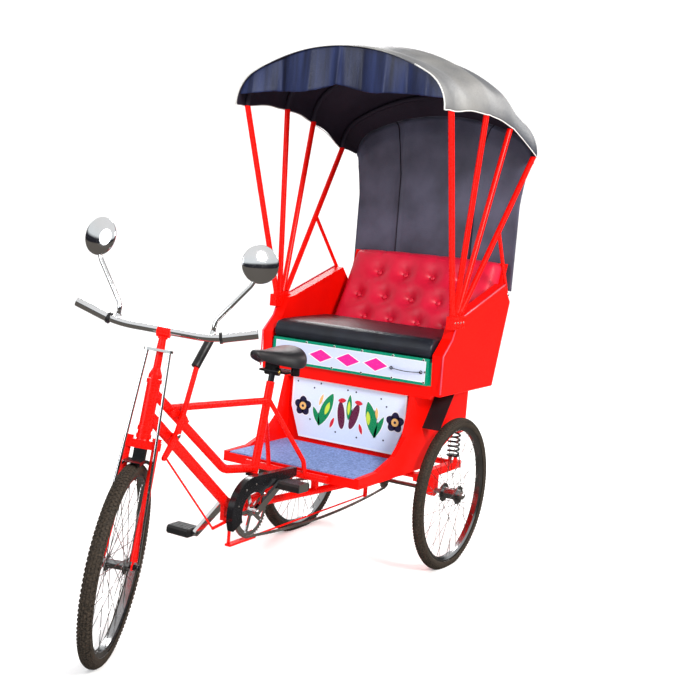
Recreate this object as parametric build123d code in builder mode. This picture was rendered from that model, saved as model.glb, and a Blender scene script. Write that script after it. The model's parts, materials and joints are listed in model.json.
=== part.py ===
"""Pedal passenger tricycle: one steered front wheel, a saddle for the rider and a hooded bench for
two passengers over the rear axle.

Millimetres. While it is modelled, x runs forward from the rear axle, y to the vehicle's left and z
up from the ground. Each finished piece is moved so that the origin lies on the ground, midway
between the foremost and the rearmost point. The front end is modelled straight ahead, then turned
about the raked steering axis.
"""
from build123d import *

import os
from math import atan2, cos, degrees, pi, radians, sin, sqrt

os.makedirs("parts", exist_ok=True)

# Wheels, all three alike
WHEEL_R = 330.0
TYRE_R = 25.0
RIM_W = 34.0
RIM_TOP = 292.0
RIM_DEPTH = 16.0
SPOKES = 36
SPOKE_R = 1.2
RUN_GAP = 0.08
WHEELBASE = 1704.0
TRACK = 768.0

# Steering: s is the height along the raked axis above the foot of the axle's perpendicular
RAKE = 11.8
FORK_OFFSET = 33.0
STEER_REST = 27.3
STEERER_R = 12.5
HEAD_R = 22.0
HEAD_LOW = 421.0
HEAD_TOP = 602.0
COLLAR_R = 25.0
COLLAR_H = 14.0
CROWN_LOW = 374.0
CROWN_T = 26.0
LEG_Y = 46.0
LEG_R = 11.5
LEG_FOOT_Y = 52.0
LEG_BEND = 300.0
RING_H = 3.0
DROPOUT_T = 5.0
FRONT_AXLE_R = 5.0
FRONT_AXLE_HALF = 77.0
NUT_R = 9.0
STEM_R = 14.0
BAR_S = 757.0
BAR_R = 12.5
BAR_HALF = 300.0
BAR_RISE = 48.0
BAR_SWEEP = 10.0
BAR_BEND = 380.0
GRIP_L = 112.0
GRIP_R = 16.0
STAY_R = 5.0
STAY_TOP_Y = 37.0
STAY_FOOT_Y = 70.0
STAY_AHEAD = 24.0
BRACKET_S = 692.0
BRACKET_T = 8.0
MIRROR_R = 64.0
MIRROR_T = 16.0
MIRROR_RIM = 5.0
MIRROR_Y = 270.0
MIRROR_S = 1032.0
STALK_Y = 158.0
STALK_R = 5.0
STUB_GAP = 8.0
STUB_T = 2.5
STUB_HALF = 29.0
STUB_ANGLE = 13.0

# Frame tubes: x and z of their centre lines, from the bottom bracket
FRONT_CENTRE = 679.0
BB_X = WHEELBASE - FRONT_CENTRE
BB_Z = 383.0
UPPER_TUBE_R = 16.0
UPPER_TUBE = [(BB_X + 535, 876), (BB_X + 109, 545), (BB_X - 75, 520)]
DOWN_TUBE_R = 19.0
DOWN_TUBE = [(BB_X + 549, 800), (BB_X + 87, 420), (BB_X, BB_Z)]
TOP_TUBE_R = 13.0
TOP_TUBE = [(BB_X + 445, 807), (BB_X - 140, 770)]
SEAT_TUBE_R = 16.0
SEAT_TUBE = [(BB_X - 150, 842), (BB_X - 77, 487), (BB_X, BB_Z)]
FRAME_BEND = 90.0
BB_R = 25.0
BB_HALF = 36.0
BEAM_R = 14.0
BEAM_Y = 30.0
BEAM_REAR_Y = 205.0
SEAT_STAY_R = 9.0
CROSS_R = 14.0
CROSS_Z = 471.0
CROSS_HALF = 192.0
SEAT_STAY_Y = 85.0
SEAT_STAY_BEND_Z = 530.0
REAR_POST_X = 150.0
POST_BACK = 65.0
POST_W = 22.0

# Drive, on the vehicle's left
PITCH = 12.7
RING_TEETH = 48
SPROCKET_TEETH = 20
CHAIN_Y = 55.0
CHAIN_W = 8.0
CHAIN_T = 9.0
CHAIN_SAG = 30.0
INNER_LINK_W = 5.6
LINK_NOSE = 3.6
SLOT_W = 3.8
SLOT_TOP = 2.9
RING_T = 2.8
TOOTH_TIP = 2.3
TOOTH_ROOT = 4.0
TOOTH_BASE = 7.0
TOOTH_TOP = 2.6
ARM_T = 5.0
ARM_W = 15.0
ARMS = 5
CRANK_L = 170.0
CRANK_REST = 29.0
CRANK_Y = 78.0
CRANK_T = 14.0
CRANK_W = 22.0
SPINDLE_R = 8.0
PEDAL_L = 92.0
PEDAL_W = 78.0
PEDAL_T = 32.0
PEDAL_PIN_R = 6.0
PEDAL_GAP = 6.0
PEDAL_PLATE_T = 4.0
GROOVE_W = 3.5
CASE_R = 130.0
CASE_IN_R = 70.0
CASE_T = 2.0
CASE_Y = 40.0
CASE_OUT_Y = 66.0
CASE_FRONT_A = -25.0
CASE_TAIL_X = BB_X - 277
CASE_TAIL_Z = 488.0
CASE_STRAP = ((BB_X - 43, BB_X - 25), (2, 42), (503, 511))

# Rear axle: a live shaft in two bearing blocks
AXLE_R = 10.0
BEARING_R = 27.0
HUB_HALF = 46.0
MEMBER_Y = 292.0
MEMBER_W = 30.0
MEMBER_LOW = 392.0
MEMBER_TOP = 426.0
MEMBER_FRONT = 165.0
MEMBER_REAR = -245.0
REAR_CROSS_XS = (120.0, -225.0)
REAR_CROSS_Z = (MEMBER_LOW + MEMBER_TOP) / 2

# Tub: outlines in x and z
TUB_HALF = 440.0
SIDE_T = 50.0
TUB_LOW = 788.0
SIDE_OUTLINE = [(300, 788), (313, 954), (241, 1018), (202, 1100), (159, 1107),
                (-246, 1232), (-321, 1156), (-204, 788)]
FLOOR_T = 12.0
RAIL_LOW = 773.0
RAIL_TOP = 827.0
RAIL_T = 26.0
STRIP_X = 313.0
STRIP_TOP = 936.0
STRIP_T = 12.0
SEAT_BOARD_T = 14.0
CUSHION_TOP = 1012.0
CUSHION_FRONT = 318.0
BACK_T = 14.0
BACK_TOP = 1318.0
BACK_HALF = 372.0
PAD_FOOT_X = -137.0
PAD_TOP_X = -322.0
SOFT_GAP = 0.3

# Footwell and the box under the bench
FOOT_FRONT = BB_X - 320
FOOT_TOP = 496.0
FOOT_LOW = 455.0
SHEET_T = 6.0
MAT_T = 5.0
ART_X = 286.0
ART_HALF = 279.0
ART_LOW = 515.0
ART_T = 8.0
BOX_HALF = 318.0
BOX_T = 20.0
BOX_REAR = -120.0
SPLASH_HALF = 398.0
SPLASH_T = 4.0
SPLASH_LINE = [(78, 784), (200, 632)]

# Suspension
SPRING_X = -185.0
SPRING_LOW = 452.0
SPRING_TOP = 566.0
SPRING_R = 30.0
SPRING_WIRE_R = 4.5
SPRING_TURNS = 5

# Saddle
SADDLE_X = BB_X - 153
SADDLE_TOP = 974.0
SADDLE_L = 262.0
SADDLE_DEPTH = 62.0
# sections of the saddle: place as a share of its length, half width, dip of the top, depth
SADDLE_SECTIONS = [(-0.5, 58, 16, 50), (-0.43, 86, 5, SADDLE_DEPTH), (-0.28, 99, 0, SADDLE_DEPTH),
                   (-0.12, 88, 2, SADDLE_DEPTH), (0.12, 48, 5, SADDLE_DEPTH), (0.3, 30, 4, 54),
                   (0.45, 22, 4, 46), (0.5, 12, 10, 38)]

# Hood: each bow's top x, half width, side height and the roof's crown there
BOW_R = 12.0
BOWS = [(499, 468, 1899, 2130), (194, 474, 1918, 2172), (-36, 482, 1888, 2164), (-312, 485, 1794, 2040)]
FRONT_EDGE = (460, 1897, 2118)
REAR_EDGE = (440, 1770, 1950)
FOOT_X = 208.0
FOOT_PITCH = 26.0
FOOT_Y = 428.0
FOOT_Z = 1112.0
SHOULDER = 0.62
ROOF_T = 8.0
COVER_GAP = 1.8
ROOF_FRONT = 572.0
ROOF_REAR = -402.0
VALANCE = 140.0
CURTAIN_T = 8.0
CURTAIN_HALF = 415.0
CURTAIN_LOW = 1250.0
CURTAIN_TOP = 1930.0

BRACE_R = 8.0
BRACE_SHARE = 0.51
BRACE_FOOT = (-286.0, 430.0, 1196.0)

# Hand brake lever, foot pedal and their rods
LEVER_Y = 38.0
LEVER_T = 8.0
LEVER_BOLT_R = 7.0
LEVER = [(BB_X + 355, 945), (BB_X + 407, 800), (BB_X + 439, 719), (BB_X + 497, 652)]
LEVER_R = 9.0
LEVER_PLATE = list(zip(LEVER[1:], (10, 15, 10)))
QUADRANT_R = 84.0
QUADRANT_W = 20.0
QUADRANT_Y = 22.0
QUADRANT_T = 5.0
QUADRANT_SPAN = (75.0, 155.0)
NOTCHES = 14
QUADRANT_LUG = (BB_X + 400, 771)
LEVER_GRIP = [(BB_X + 293, 1030), (BB_X + 363, 945)]
LEVER_GRIP_R = 15.0
ROD_R = 3.5
LINK_Y = 30.0
LINK_T = 12.0
LINK_X = BB_X + 93
LINK_Z = 362.0
LINK_FRONT = (BB_X + 195, 350.0)
FOOT_PEDAL = (BB_X - 59, 272.0)
REAR_ROD_Z = 274.0

# Worked out from the sizes above
RAKE_A = radians(RAKE)
TURN_A = radians(STEER_REST)
TYRE_MID_R = WHEEL_R - TYRE_R
FRONT_AXLE_Z = (TYRE_MID_R * sqrt(1 - (sin(TURN_A) * sin(RAKE_A)) ** 2) + TYRE_R
                + FORK_OFFSET * sin(RAKE_A) * (1 - cos(TURN_A)))
STEER_FOOT = Vector(WHEELBASE - FORK_OFFSET * cos(RAKE_A), 0, FRONT_AXLE_Z - FORK_OFFSET * sin(RAKE_A))
STEER = Plane(origin=STEER_FOOT, x_dir=(cos(RAKE_A), 0, sin(RAKE_A)), z_dir=(-sin(RAKE_A), 0, cos(RAKE_A)))
STEER_AXIS = Axis(STEER.origin, STEER.z_dir)
FRONT_REACH = (STEER_FOOT.X + FORK_OFFSET * cos(TURN_A) * cos(RAKE_A)
               + TYRE_MID_R * sqrt(1 - (sin(TURN_A) * cos(RAKE_A)) ** 2) + TYRE_R)
ORIGIN_X = (FRONT_REACH + ROOF_REAR) / 2
RING_R = PITCH / (2 * sin(pi / RING_TEETH))
SPROCKET_R = PITCH / (2 * sin(pi / SPROCKET_TEETH))
RAIL_HALF = TUB_HALF - SIDE_T


def steered(ahead, side, s):
    """A point given ahead of the steering axis, to its left and along it."""
    return STEER.from_local_coords(Vector(ahead, side, s))


def side_plane(y):
    """A sketch plane facing the vehicle's right, with x forward and its own y up."""
    return Plane(origin=(0, y, 0), x_dir=(1, 0, 0), z_dir=(0, -1, 0))


def cross_plane(x):
    """A sketch plane across the vehicle at x, with y to the left and its own y up."""
    return Plane(origin=(x, 0, 0), x_dir=(0, 1, 0), z_dir=(1, 0, 0))


def tube(points, radius, bend=0.0):
    """A bar of round section along the points, its corners rounded to the bend radius."""
    with BuildPart() as bar:
        with BuildLine() as route:
            if bend:
                FilletPolyline(*points, radius=bend)
            else:
                Polyline(*points)
        start = route.wire()
        with BuildSketch(Plane(origin=start @ 0, z_dir=start % 0)):
            Circle(radius)
        sweep(path=start)
    return bar.part


def disc(radius, low, high, x=0.0, z=0.0):
    """A round piece across the vehicle, from y low to y high, about the point x, z."""
    with BuildPart() as piece:
        with BuildSketch(side_plane(low)):
            with Locations((x, z)):
                Circle(radius)
        extrude(amount=low - high)
    return piece.part


def plate(outline, low, high):
    """A flat piece across the vehicle, from y low to y high, with its outline in x and z."""
    with BuildPart() as piece:
        with BuildSketch(side_plane(low)):
            with BuildLine():
                Polyline(*outline, close=True)
            make_face()
        extrude(amount=low - high)
    return piece.part


def block(x, y, z):
    """A rectangular piece between the given pairs of limits."""
    with BuildPart() as piece:
        with Locations(((x[0] + x[1]) / 2, (y[0] + y[1]) / 2, (z[0] + z[1]) / 2)):
            Box(x[1] - x[0], y[1] - y[0], z[1] - z[0])
    return piece.part


def both_sides(solid):
    """A solid and its mirror image across the middle of the vehicle."""
    return [solid, solid.mirror(Plane.XZ)]


def flat(points, y=0.0):
    """Points given in x and z, placed in space at y."""
    return [(x, y, z) for x, z in points]


def finish(piece, name, turned=False):
    """Turn a piece of the front end, move it to the origin and write it."""
    if turned:
        piece.part = piece.part.rotate(STEER_AXIS, STEER_REST)
    piece.part = piece.part.moved(Location((-ORIGIN_X, 0, 0)))
    piece.part.label = name
    export_step(piece.part, f"parts/{name}.step")


# Wheels: a tyre, and a wheel of rim, spokes and hub fused as one
def tyre_solid():
    with BuildPart() as tyre:
        with BuildSketch(Plane.XY):
            with Locations((TYRE_MID_R, 0)):
                Circle(TYRE_R)
            with Locations((RIM_TOP - 2 - TYRE_R, 0)):
                Rectangle(2 * TYRE_R, 3 * TYRE_R, mode=Mode.SUBTRACT)
            with Locations((RIM_TOP - RIM_DEPTH / 2, 0)):
                Rectangle(RIM_DEPTH, RIM_W, mode=Mode.SUBTRACT)
        revolve(axis=Axis.Y)
    return tyre.part


def wheel_solid(flange_in, flange_out, flange_r, barrel_r, hub_in, hub_out, bore_r):
    """Rim, crossed spokes and hub. The flanges and hub ends are given along the axle."""
    rim_low = RIM_TOP - RIM_DEPTH
    with BuildPart() as hub:
        with BuildSketch(Plane.XY):
            with BuildLine():
                Polyline((bore_r, hub_in), (barrel_r, hub_in), (barrel_r, hub_out), (bore_r, hub_out),
                         close=True)
            make_face()
            for y in (flange_in, flange_out):
                with Locations(((bore_r + flange_r) / 2, y)):
                    Rectangle(flange_r - bore_r, 5)
        revolve(axis=Axis.Y)
    starts = []
    for i in range(SPOKES):
        side = i % 2
        lead = 1 if (i // 2) % 2 else -1
        angle = 360 / SPOKES * i
        hub_angle = radians(angle - lead * 62)
        rim_angle = radians(angle)
        y = (flange_in, flange_out)[side] + lead * 2.4
        head = Vector((flange_r - 4) * cos(hub_angle), y, (flange_r - 4) * sin(hub_angle))
        nipple = Vector((rim_low + 2) * cos(rim_angle), 3 * (side * 2 - 1), (rim_low + 2) * sin(rim_angle))
        starts.append((head, nipple))
    with BuildPart() as wheel:
        with BuildSketch(Plane.XY):
            with BuildLine():
                Polyline((RIM_TOP, -RIM_W / 2), (RIM_TOP, RIM_W / 2), (RIM_TOP - 7, RIM_W / 2),
                         (rim_low, RIM_W / 3), (rim_low, -RIM_W / 3), (RIM_TOP - 7, -RIM_W / 2), close=True)
            make_face()
        revolve(axis=Axis.Y)
        add(hub.part)
        for side in (0, 1):
            pairs = starts[side::2]
            with BuildSketch(*[Plane(origin=a, z_dir=b - a) for a, b in pairs]):
                RegularPolygon(SPOKE_R, 6)
            extrude(amount=(pairs[0][1] - pairs[0][0]).length)
    return wheel.part


tyre_shape = tyre_solid()
FRONT_PLACE = Location((WHEELBASE, 0, FRONT_AXLE_Z))
front_hub = wheel_solid(-30, 30, 27, 16, -43, 43, FRONT_AXLE_R + RUN_GAP)

with BuildPart() as front_tyre:
    add(tyre_shape.moved(FRONT_PLACE))
finish(front_tyre, "front_tyre", turned=True)

with BuildPart() as front_wheel:
    add(front_hub.moved(FRONT_PLACE))
finish(front_wheel, "front_wheel", turned=True)

SIDES = [("left", 1), ("right", -1)]
for name, hand in SIDES:
    centre = Location((0, hand * TRACK / 2, WHEEL_R))
    bore = AXLE_R if name == "left" else AXLE_R + RUN_GAP
    hub_shape = wheel_solid(-34 * hand, 34 * hand, 40, 24, -HUB_HALF, HUB_HALF, bore)
    with BuildPart() as rear_tyre:
        add(tyre_shape.moved(centre))
    finish(rear_tyre, f"rear_tyre_{name}")
    with BuildPart() as rear_wheel:
        add(hub_shape.moved(centre))
    finish(rear_wheel, f"rear_wheel_{name}")

# Fork: two legs with dropouts, the crown and the axle
LEG_PATH = [steered(0, LEG_Y, CROWN_LOW), steered(0, LEG_Y + 2, 190),
            steered(FORK_OFFSET - 3, LEG_FOOT_Y, 16)]
with BuildPart() as dropout:
    with BuildSketch(Plane(origin=steered(0, LEG_FOOT_Y - DROPOUT_T / 2, 0), x_dir=STEER.x_dir,
                           z_dir=(0, 1, 0))):
        with Locations((FORK_OFFSET, 0)):
            Circle(NUT_R + 3)
        with Locations((FORK_OFFSET - 2, -14)):
            Rectangle(15, 30)
        with Locations((FORK_OFFSET, 0)):
            Circle(FRONT_AXLE_R, mode=Mode.SUBTRACT)
    extrude(amount=DROPOUT_T)
with BuildPart() as fork_legs:
    for solid in both_sides(tube(LEG_PATH, LEG_R, LEG_BEND)):
        add(solid)
    for solid in both_sides(disc(NUT_R + 7, LEG_FOOT_Y - 20, LEG_FOOT_Y + 20, WHEELBASE, FRONT_AXLE_Z)):
        add(solid, mode=Mode.SUBTRACT)
    for solid in both_sides(dropout.part):
        add(solid)
finish(fork_legs, "fork_legs", turned=True)

with BuildPart() as fork_crown:
    with BuildSketch(STEER.offset(CROWN_LOW)):
        SlotOverall(2 * LEG_Y + 34, 34, rotation=90)
    extrude(amount=CROWN_T)
    for step, radius in enumerate((LEG_R + 2, LEG_R + 4.5) * 2):
        with BuildSketch(STEER.offset(CROWN_LOW + CROWN_T + step * RING_H)):
            with Locations((0, LEG_Y), (0, -LEG_Y)):
                Circle(radius)
        extrude(amount=RING_H)
    with BuildSketch(STEER.offset(CROWN_LOW + CROWN_T)):
        Circle(HEAD_R)
    extrude(amount=HEAD_LOW - CROWN_LOW - CROWN_T - COLLAR_H - 1, taper=12)
    with BuildSketch(STEER.offset(CROWN_LOW + CROWN_T)):
        Circle(STEERER_R)
    extrude(amount=HEAD_R, mode=Mode.SUBTRACT)
    for solid in both_sides(tube(LEG_PATH, LEG_R, LEG_BEND)):
        add(solid, mode=Mode.SUBTRACT)
finish(fork_crown, "fork_crown", turned=True)

with BuildPart() as front_axle:
    add(disc(FRONT_AXLE_R, -FRONT_AXLE_HALF, FRONT_AXLE_HALF, WHEELBASE, FRONT_AXLE_Z))
    nut_low = LEG_FOOT_Y + DROPOUT_T / 2
    for low, high in [(nut_low, nut_low + 8), (STAY_FOOT_Y + 2, STAY_FOOT_Y + 6)]:
        for solid in both_sides(disc(NUT_R, low, high, WHEELBASE, FRONT_AXLE_Z)):
            add(solid)
finish(front_axle, "front_axle", turned=True)

# Stem: steerer through the head tube, cone cap, stem tube and the sleeve that holds the bar
with BuildPart() as bar_sleeve:
    with BuildSketch(Plane(origin=steered(0, -22, BAR_S), z_dir=(0, 1, 0))):
        Circle(BAR_R + 4)
    extrude(amount=44)
STEM_OUTLINE = [(0, CROWN_LOW + CROWN_T), (STEERER_R, CROWN_LOW + CROWN_T), (STEERER_R, HEAD_TOP + 1),
                (HEAD_R, HEAD_TOP + 1), (HEAD_R, HEAD_TOP + 14), (STEERER_R, HEAD_TOP + 36),
                (STEERER_R - 1, BRACKET_S + BRACKET_T), (STEM_R, BRACKET_S + BRACKET_T),
                (STEM_R - 2, BAR_S - 22), (STEM_R + 2, BAR_S - 22), (STEM_R + 2, BAR_S - 15),
                (0, BAR_S - 10)]
bar_path = [steered(-BAR_SWEEP, -BAR_HALF, BAR_S + BAR_RISE), steered(-2, -160, BAR_S + 6),
            steered(-2, 160, BAR_S + 6), steered(-BAR_SWEEP, BAR_HALF, BAR_S + BAR_RISE)]
bar_solid = tube(bar_path, BAR_R, BAR_BEND)
with BuildPart() as stem:
    with BuildSketch(Plane(origin=STEER.origin, x_dir=STEER.x_dir, z_dir=(0, -1, 0))):
        with BuildLine():
            Polyline(*STEM_OUTLINE, close=True)
        make_face()
    revolve(axis=STEER_AXIS)
    add(bar_sleeve.part)
    add(bar_solid, mode=Mode.SUBTRACT)
stem_solid = stem.part
finish(stem, "stem", turned=True)

with BuildPart() as handlebar:
    add(bar_solid)
finish(handlebar, "handlebar", turned=True)

# Grips: sleeves over the last stretch of the bar, with a collar at the inner end
bar_end = steered(-BAR_SWEEP, BAR_HALF, BAR_S + BAR_RISE)
bar_dir = (bar_end - steered(-2, 160, BAR_S + 6)).normalized()
with BuildPart() as grip:
    with BuildSketch(Plane(origin=bar_end - bar_dir * GRIP_L, z_dir=bar_dir)):
        Circle(GRIP_R)
    extrude(amount=GRIP_L + 4)
    with BuildSketch(Plane(origin=bar_end - bar_dir * (GRIP_L + 10), z_dir=bar_dir)):
        Circle(GRIP_R + 3)
    extrude(amount=10)
    add(bar_solid, mode=Mode.SUBTRACT)
with BuildPart() as grips:
    for solid in both_sides(grip.part):
        add(solid)
finish(grips, "grips", turned=True)

# Mirrors: a round shell on a bent stalk clamped to the bar
stalk_foot = steered(-2, STALK_Y, BAR_S + 10)
stalk_path = [stalk_foot, steered(-2, STALK_Y + 2, BAR_S + 62), steered(-4, MIRROR_Y - 14, MIRROR_S - 70),
              steered(-6, MIRROR_Y, MIRROR_S - 6)]
mirror_at = steered(-4, MIRROR_Y, MIRROR_S)
with BuildPart() as head:
    with BuildSketch(Plane(origin=mirror_at, x_dir=(0, 1, 0), z_dir=Vector(0, 1, 0).cross(STEER.x_dir))):
        with BuildLine():
            Polyline((MIRROR_R, 0), (MIRROR_R, -MIRROR_RIM), (0, -MIRROR_RIM), (0, MIRROR_T))
            TangentArc((0, MIRROR_T), (MIRROR_R, 0), tangent=(1, 0))
        make_face()
    revolve(axis=Axis(mirror_at, STEER.x_dir))
with BuildPart() as stalk:
    add(tube(stalk_path, STALK_R, 24))
    with BuildSketch(Plane(origin=stalk_foot - bar_dir * 9, z_dir=bar_dir)):
        Circle(BAR_R + 3.5)
    extrude(amount=18)
    add(bar_solid, mode=Mode.SUBTRACT)
    add(head.part)
with BuildPart() as mirrors:
    for solid in both_sides(stalk.part.solids().sort_by(SortBy.VOLUME)[-1]):
        add(solid)
finish(mirrors, "mirrors", turned=True)

# Stay rods down to the front axle, and the bracket that holds their tops
stay_top = steered(STAY_AHEAD, STAY_TOP_Y, BRACKET_S)
stay_foot = steered(FORK_OFFSET, STAY_FOOT_Y, 0)
with BuildPart() as stay:
    add(tube([stay_top, stay_foot], STAY_R))
    with BuildSketch(STEER.offset(BRACKET_S)):
        with Locations((STAY_AHEAD, STAY_TOP_Y)):
            Circle(2 * STAY_R)
    extrude(amount=BRACKET_T, mode=Mode.SUBTRACT)
    add(disc(NUT_R + 2, STAY_FOOT_Y - 9, STAY_FOOT_Y + 9, WHEELBASE, FRONT_AXLE_Z), mode=Mode.SUBTRACT)
    add(disc(NUT_R + 2, STAY_FOOT_Y - 2, STAY_FOOT_Y + 2, WHEELBASE, FRONT_AXLE_Z))
    add(disc(FRONT_AXLE_R, STAY_FOOT_Y - 5, STAY_FOOT_Y + 9, WHEELBASE, FRONT_AXLE_Z), mode=Mode.SUBTRACT)
with BuildPart() as stay_rods:
    for solid in both_sides(stay.part.solids().sort_by(SortBy.VOLUME)[-1]):
        add(solid)
finish(stay_rods, "stay_rods", turned=True)

with BuildPart() as stay_bracket:
    with BuildSketch(STEER.offset(BRACKET_S)):
        Circle(STEM_R + 6)
        with Locations((STAY_AHEAD / 2, 0)):
            Rectangle(STAY_AHEAD, 2 * STEM_R)
        with Locations((STAY_AHEAD, 0)):
            SlotOverall(2 * STAY_TOP_Y + 22, 20, rotation=90)
    extrude(amount=BRACKET_T)
    add(stem_solid, mode=Mode.SUBTRACT)
finish(stay_bracket, "stay_bracket", turned=True)

# Brake stirrup: a short curved guard over the tyre, hung from the crown
with BuildPart() as guard:
    with BuildSketch(Plane.XY):
        with Locations((WHEEL_R + STUB_GAP + STUB_T / 2, 0)):
            Rectangle(STUB_T, 2 * STUB_HALF)
        for hand in (1, -1):
            with Locations((WHEEL_R + STUB_GAP - 4, hand * (STUB_HALF - STUB_T / 2))):
                Rectangle(10, STUB_T)
    revolve(axis=Axis.Y, revolution_arc=2 * STUB_ANGLE)
with BuildPart() as brake_stirrup:
    add(guard.part.rotate(Axis.Y, -90 - RAKE - STUB_ANGLE).moved(FRONT_PLACE))
    with BuildSketch(STEER.offset(WHEEL_R + STUB_GAP)):
        with Locations((6, 0)):
            Rectangle(22, 40)
    extrude(amount=CROWN_LOW - WHEEL_R - STUB_GAP)
finish(brake_stirrup, "brake_stirrup", turned=True)

# Head tube with its collars
with BuildPart() as head_tube:
    with BuildSketch(STEER.offset(HEAD_LOW)):
        Circle(HEAD_R)
    extrude(amount=HEAD_TOP - HEAD_LOW)
    for low in (HEAD_LOW - COLLAR_H, HEAD_LOW + 12, HEAD_TOP - COLLAR_H):
        with BuildSketch(STEER.offset(low)):
            Circle(COLLAR_R)
        extrude(amount=COLLAR_H)
    with BuildSketch(STEER.offset(HEAD_LOW - COLLAR_H)):
        Circle(STEERER_R + RUN_GAP)
    extrude(amount=HEAD_TOP - HEAD_LOW + COLLAR_H, mode=Mode.SUBTRACT)
finish(head_tube, "head_tube")

# Frame tubes, each cut to the ones it meets
with BuildPart() as head_core:
    with BuildSketch(STEER.offset(HEAD_LOW - 60)):
        Circle(HEAD_R)
    extrude(amount=HEAD_TOP - HEAD_LOW + 120)
head_cut = [head_core.part, head_tube.part.moved(Location((ORIGIN_X, 0, 0)))]
bb_disc = disc(BB_R, -BB_HALF, BB_HALF, BB_X, BB_Z)
seat_bar = tube(flat(SEAT_TUBE), SEAT_TUBE_R, FRAME_BEND)
upper_bar = tube(flat(UPPER_TUBE), UPPER_TUBE_R, FRAME_BEND)
down_bar = tube(flat(DOWN_TUBE), DOWN_TUBE_R, FRAME_BEND)
top_bar = tube(flat(TOP_TUBE), TOP_TUBE_R)


def frame_piece(name, solid, cuts):
    with BuildPart() as piece:
        add(solid)
        for cut in cuts:
            add(cut, mode=Mode.SUBTRACT)
    with BuildPart() as kept:
        add(piece.part.solids().sort_by(SortBy.VOLUME)[-1])
    finish(kept, name)


# Toothed quadrant beside the upper tube, about the hand lever's pivot
with BuildPart() as upper_bar_quadrant:
    with BuildSketch(side_plane(QUADRANT_Y)):
        with Locations(LEVER[2]):
            Circle(QUADRANT_R)
            Circle(QUADRANT_R - QUADRANT_W, mode=Mode.SUBTRACT)
            with PolarLocations(QUADRANT_R, NOTCHES, QUADRANT_SPAN[0], QUADRANT_SPAN[1] - QUADRANT_SPAN[0]):
                RegularPolygon(GROOVE_W, 3, mode=Mode.SUBTRACT)
            rays = [Vector(cos(radians(a)), sin(radians(a))) * 2 * QUADRANT_R for a in QUADRANT_SPAN]
            Polygon((0, 0), *[(ray.X, ray.Y) for ray in rays], align=None, mode=Mode.INTERSECT)
    extrude(amount=-QUADRANT_T)
    add(disc(UPPER_TUBE_R / 2, 0, QUADRANT_Y + QUADRANT_T, *QUADRANT_LUG))
    add(upper_bar)
frame_piece("upper_tube", upper_bar_quadrant.part, head_cut + [seat_bar])
frame_piece("down_tube", down_bar, head_cut + [bb_disc, seat_bar])
frame_piece("top_tube", top_bar, [upper_bar, seat_bar])

with BuildPart() as seat_tube:
    add(seat_bar)
    add(bb_disc)
    add(disc(SPINDLE_R + RUN_GAP, -BB_HALF, BB_HALF, BB_X, BB_Z), mode=Mode.SUBTRACT)
finish(seat_tube, "seat_tube")

# Main beams from the bottom bracket back to the rear cross tube, with posts under the footwell
CROSS_X = FOOT_FRONT + CROSS_R + SOFT_GAP
beam_route = [(BB_X - 12, BEAM_Y, BB_Z + 3), (BB_X - RING_R - 45, BEAM_Y, BB_Z + 6),
              (REAR_CROSS_XS[0], BEAM_REAR_Y, REAR_CROSS_Z)]
beam_span = beam_route[1][0] - beam_route[2][0]
with BuildPart() as beam:
    add(tube(beam_route, BEAM_R, 200))
    for x in (FOOT_FRONT - POST_BACK, REAR_POST_X):
        share = (beam_route[1][0] - x) / beam_span
        y = BEAM_Y + share * (BEAM_REAR_Y - BEAM_Y)
        z = beam_route[1][2] + share * (REAR_CROSS_Z - beam_route[1][2])
        add(block((x - POST_W / 2, x + POST_W / 2), (y - POST_W / 2, y + POST_W / 2), (z, FOOT_LOW)))
    add(bb_disc, mode=Mode.SUBTRACT)
    add(seat_bar, mode=Mode.SUBTRACT)
    add(disc(BEAM_R, -MEMBER_Y, MEMBER_Y, REAR_CROSS_XS[0], REAR_CROSS_Z), mode=Mode.SUBTRACT)
with BuildPart() as main_beams:
    for solid in both_sides(beam.part.solids().sort_by(SortBy.VOLUME)[-1]):
        add(solid)
finish(main_beams, "main_beams")

cross_bar = tube([(CROSS_X, -CROSS_HALF, CROSS_Z), (CROSS_X, CROSS_HALF, CROSS_Z)], CROSS_R)
stay_route = [(BB_X - 133, 10, 776), (CROSS_X + 14, SEAT_STAY_Y - 2, SEAT_STAY_BEND_Z),
              (CROSS_X, SEAT_STAY_Y, CROSS_Z)]
with BuildPart() as seat_stay:
    add(tube(stay_route, SEAT_STAY_R, 40))
    add(seat_bar, mode=Mode.SUBTRACT)
    add(cross_bar, mode=Mode.SUBTRACT)
    add(top_bar, mode=Mode.SUBTRACT)
    split(bisect_by=Plane.XZ.offset(-SOFT_GAP), keep=Keep.BOTTOM)
with BuildPart() as seat_stays:
    for solid in both_sides(seat_stay.part.solids().sort_by(SortBy.VOLUME)[-1]):
        add(solid)
    add(cross_bar)
finish(seat_stays, "seat_stays")

# Rear carriage: side members with the axle's bearing blocks, and two tubes across
with BuildPart() as member:
    add(block((MEMBER_REAR, MEMBER_FRONT), (MEMBER_Y - MEMBER_W / 2, MEMBER_Y + MEMBER_W / 2),
              (MEMBER_LOW, MEMBER_TOP)))
    add(block((-BEARING_R, BEARING_R), (MEMBER_Y - MEMBER_W / 2, MEMBER_Y + MEMBER_W / 2),
              (WHEEL_R, MEMBER_LOW)))
    add(disc(BEARING_R, MEMBER_Y - MEMBER_W / 2, MEMBER_Y + MEMBER_W / 2, 0, WHEEL_R))
    add(disc(AXLE_R + RUN_GAP, MEMBER_Y - MEMBER_W, MEMBER_Y + MEMBER_W, 0, WHEEL_R), mode=Mode.SUBTRACT)
    for y in (MEMBER_Y - MEMBER_W / 2, MEMBER_Y + MEMBER_W / 2 - 4):
        add(block((SPRING_X - 16, SPRING_X + 16), (y, y + 4), (MEMBER_TOP, SPRING_LOW)))
with BuildPart() as side_members:
    for solid in both_sides(member.part):
        add(solid)
finish(side_members, "side_members")
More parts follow.
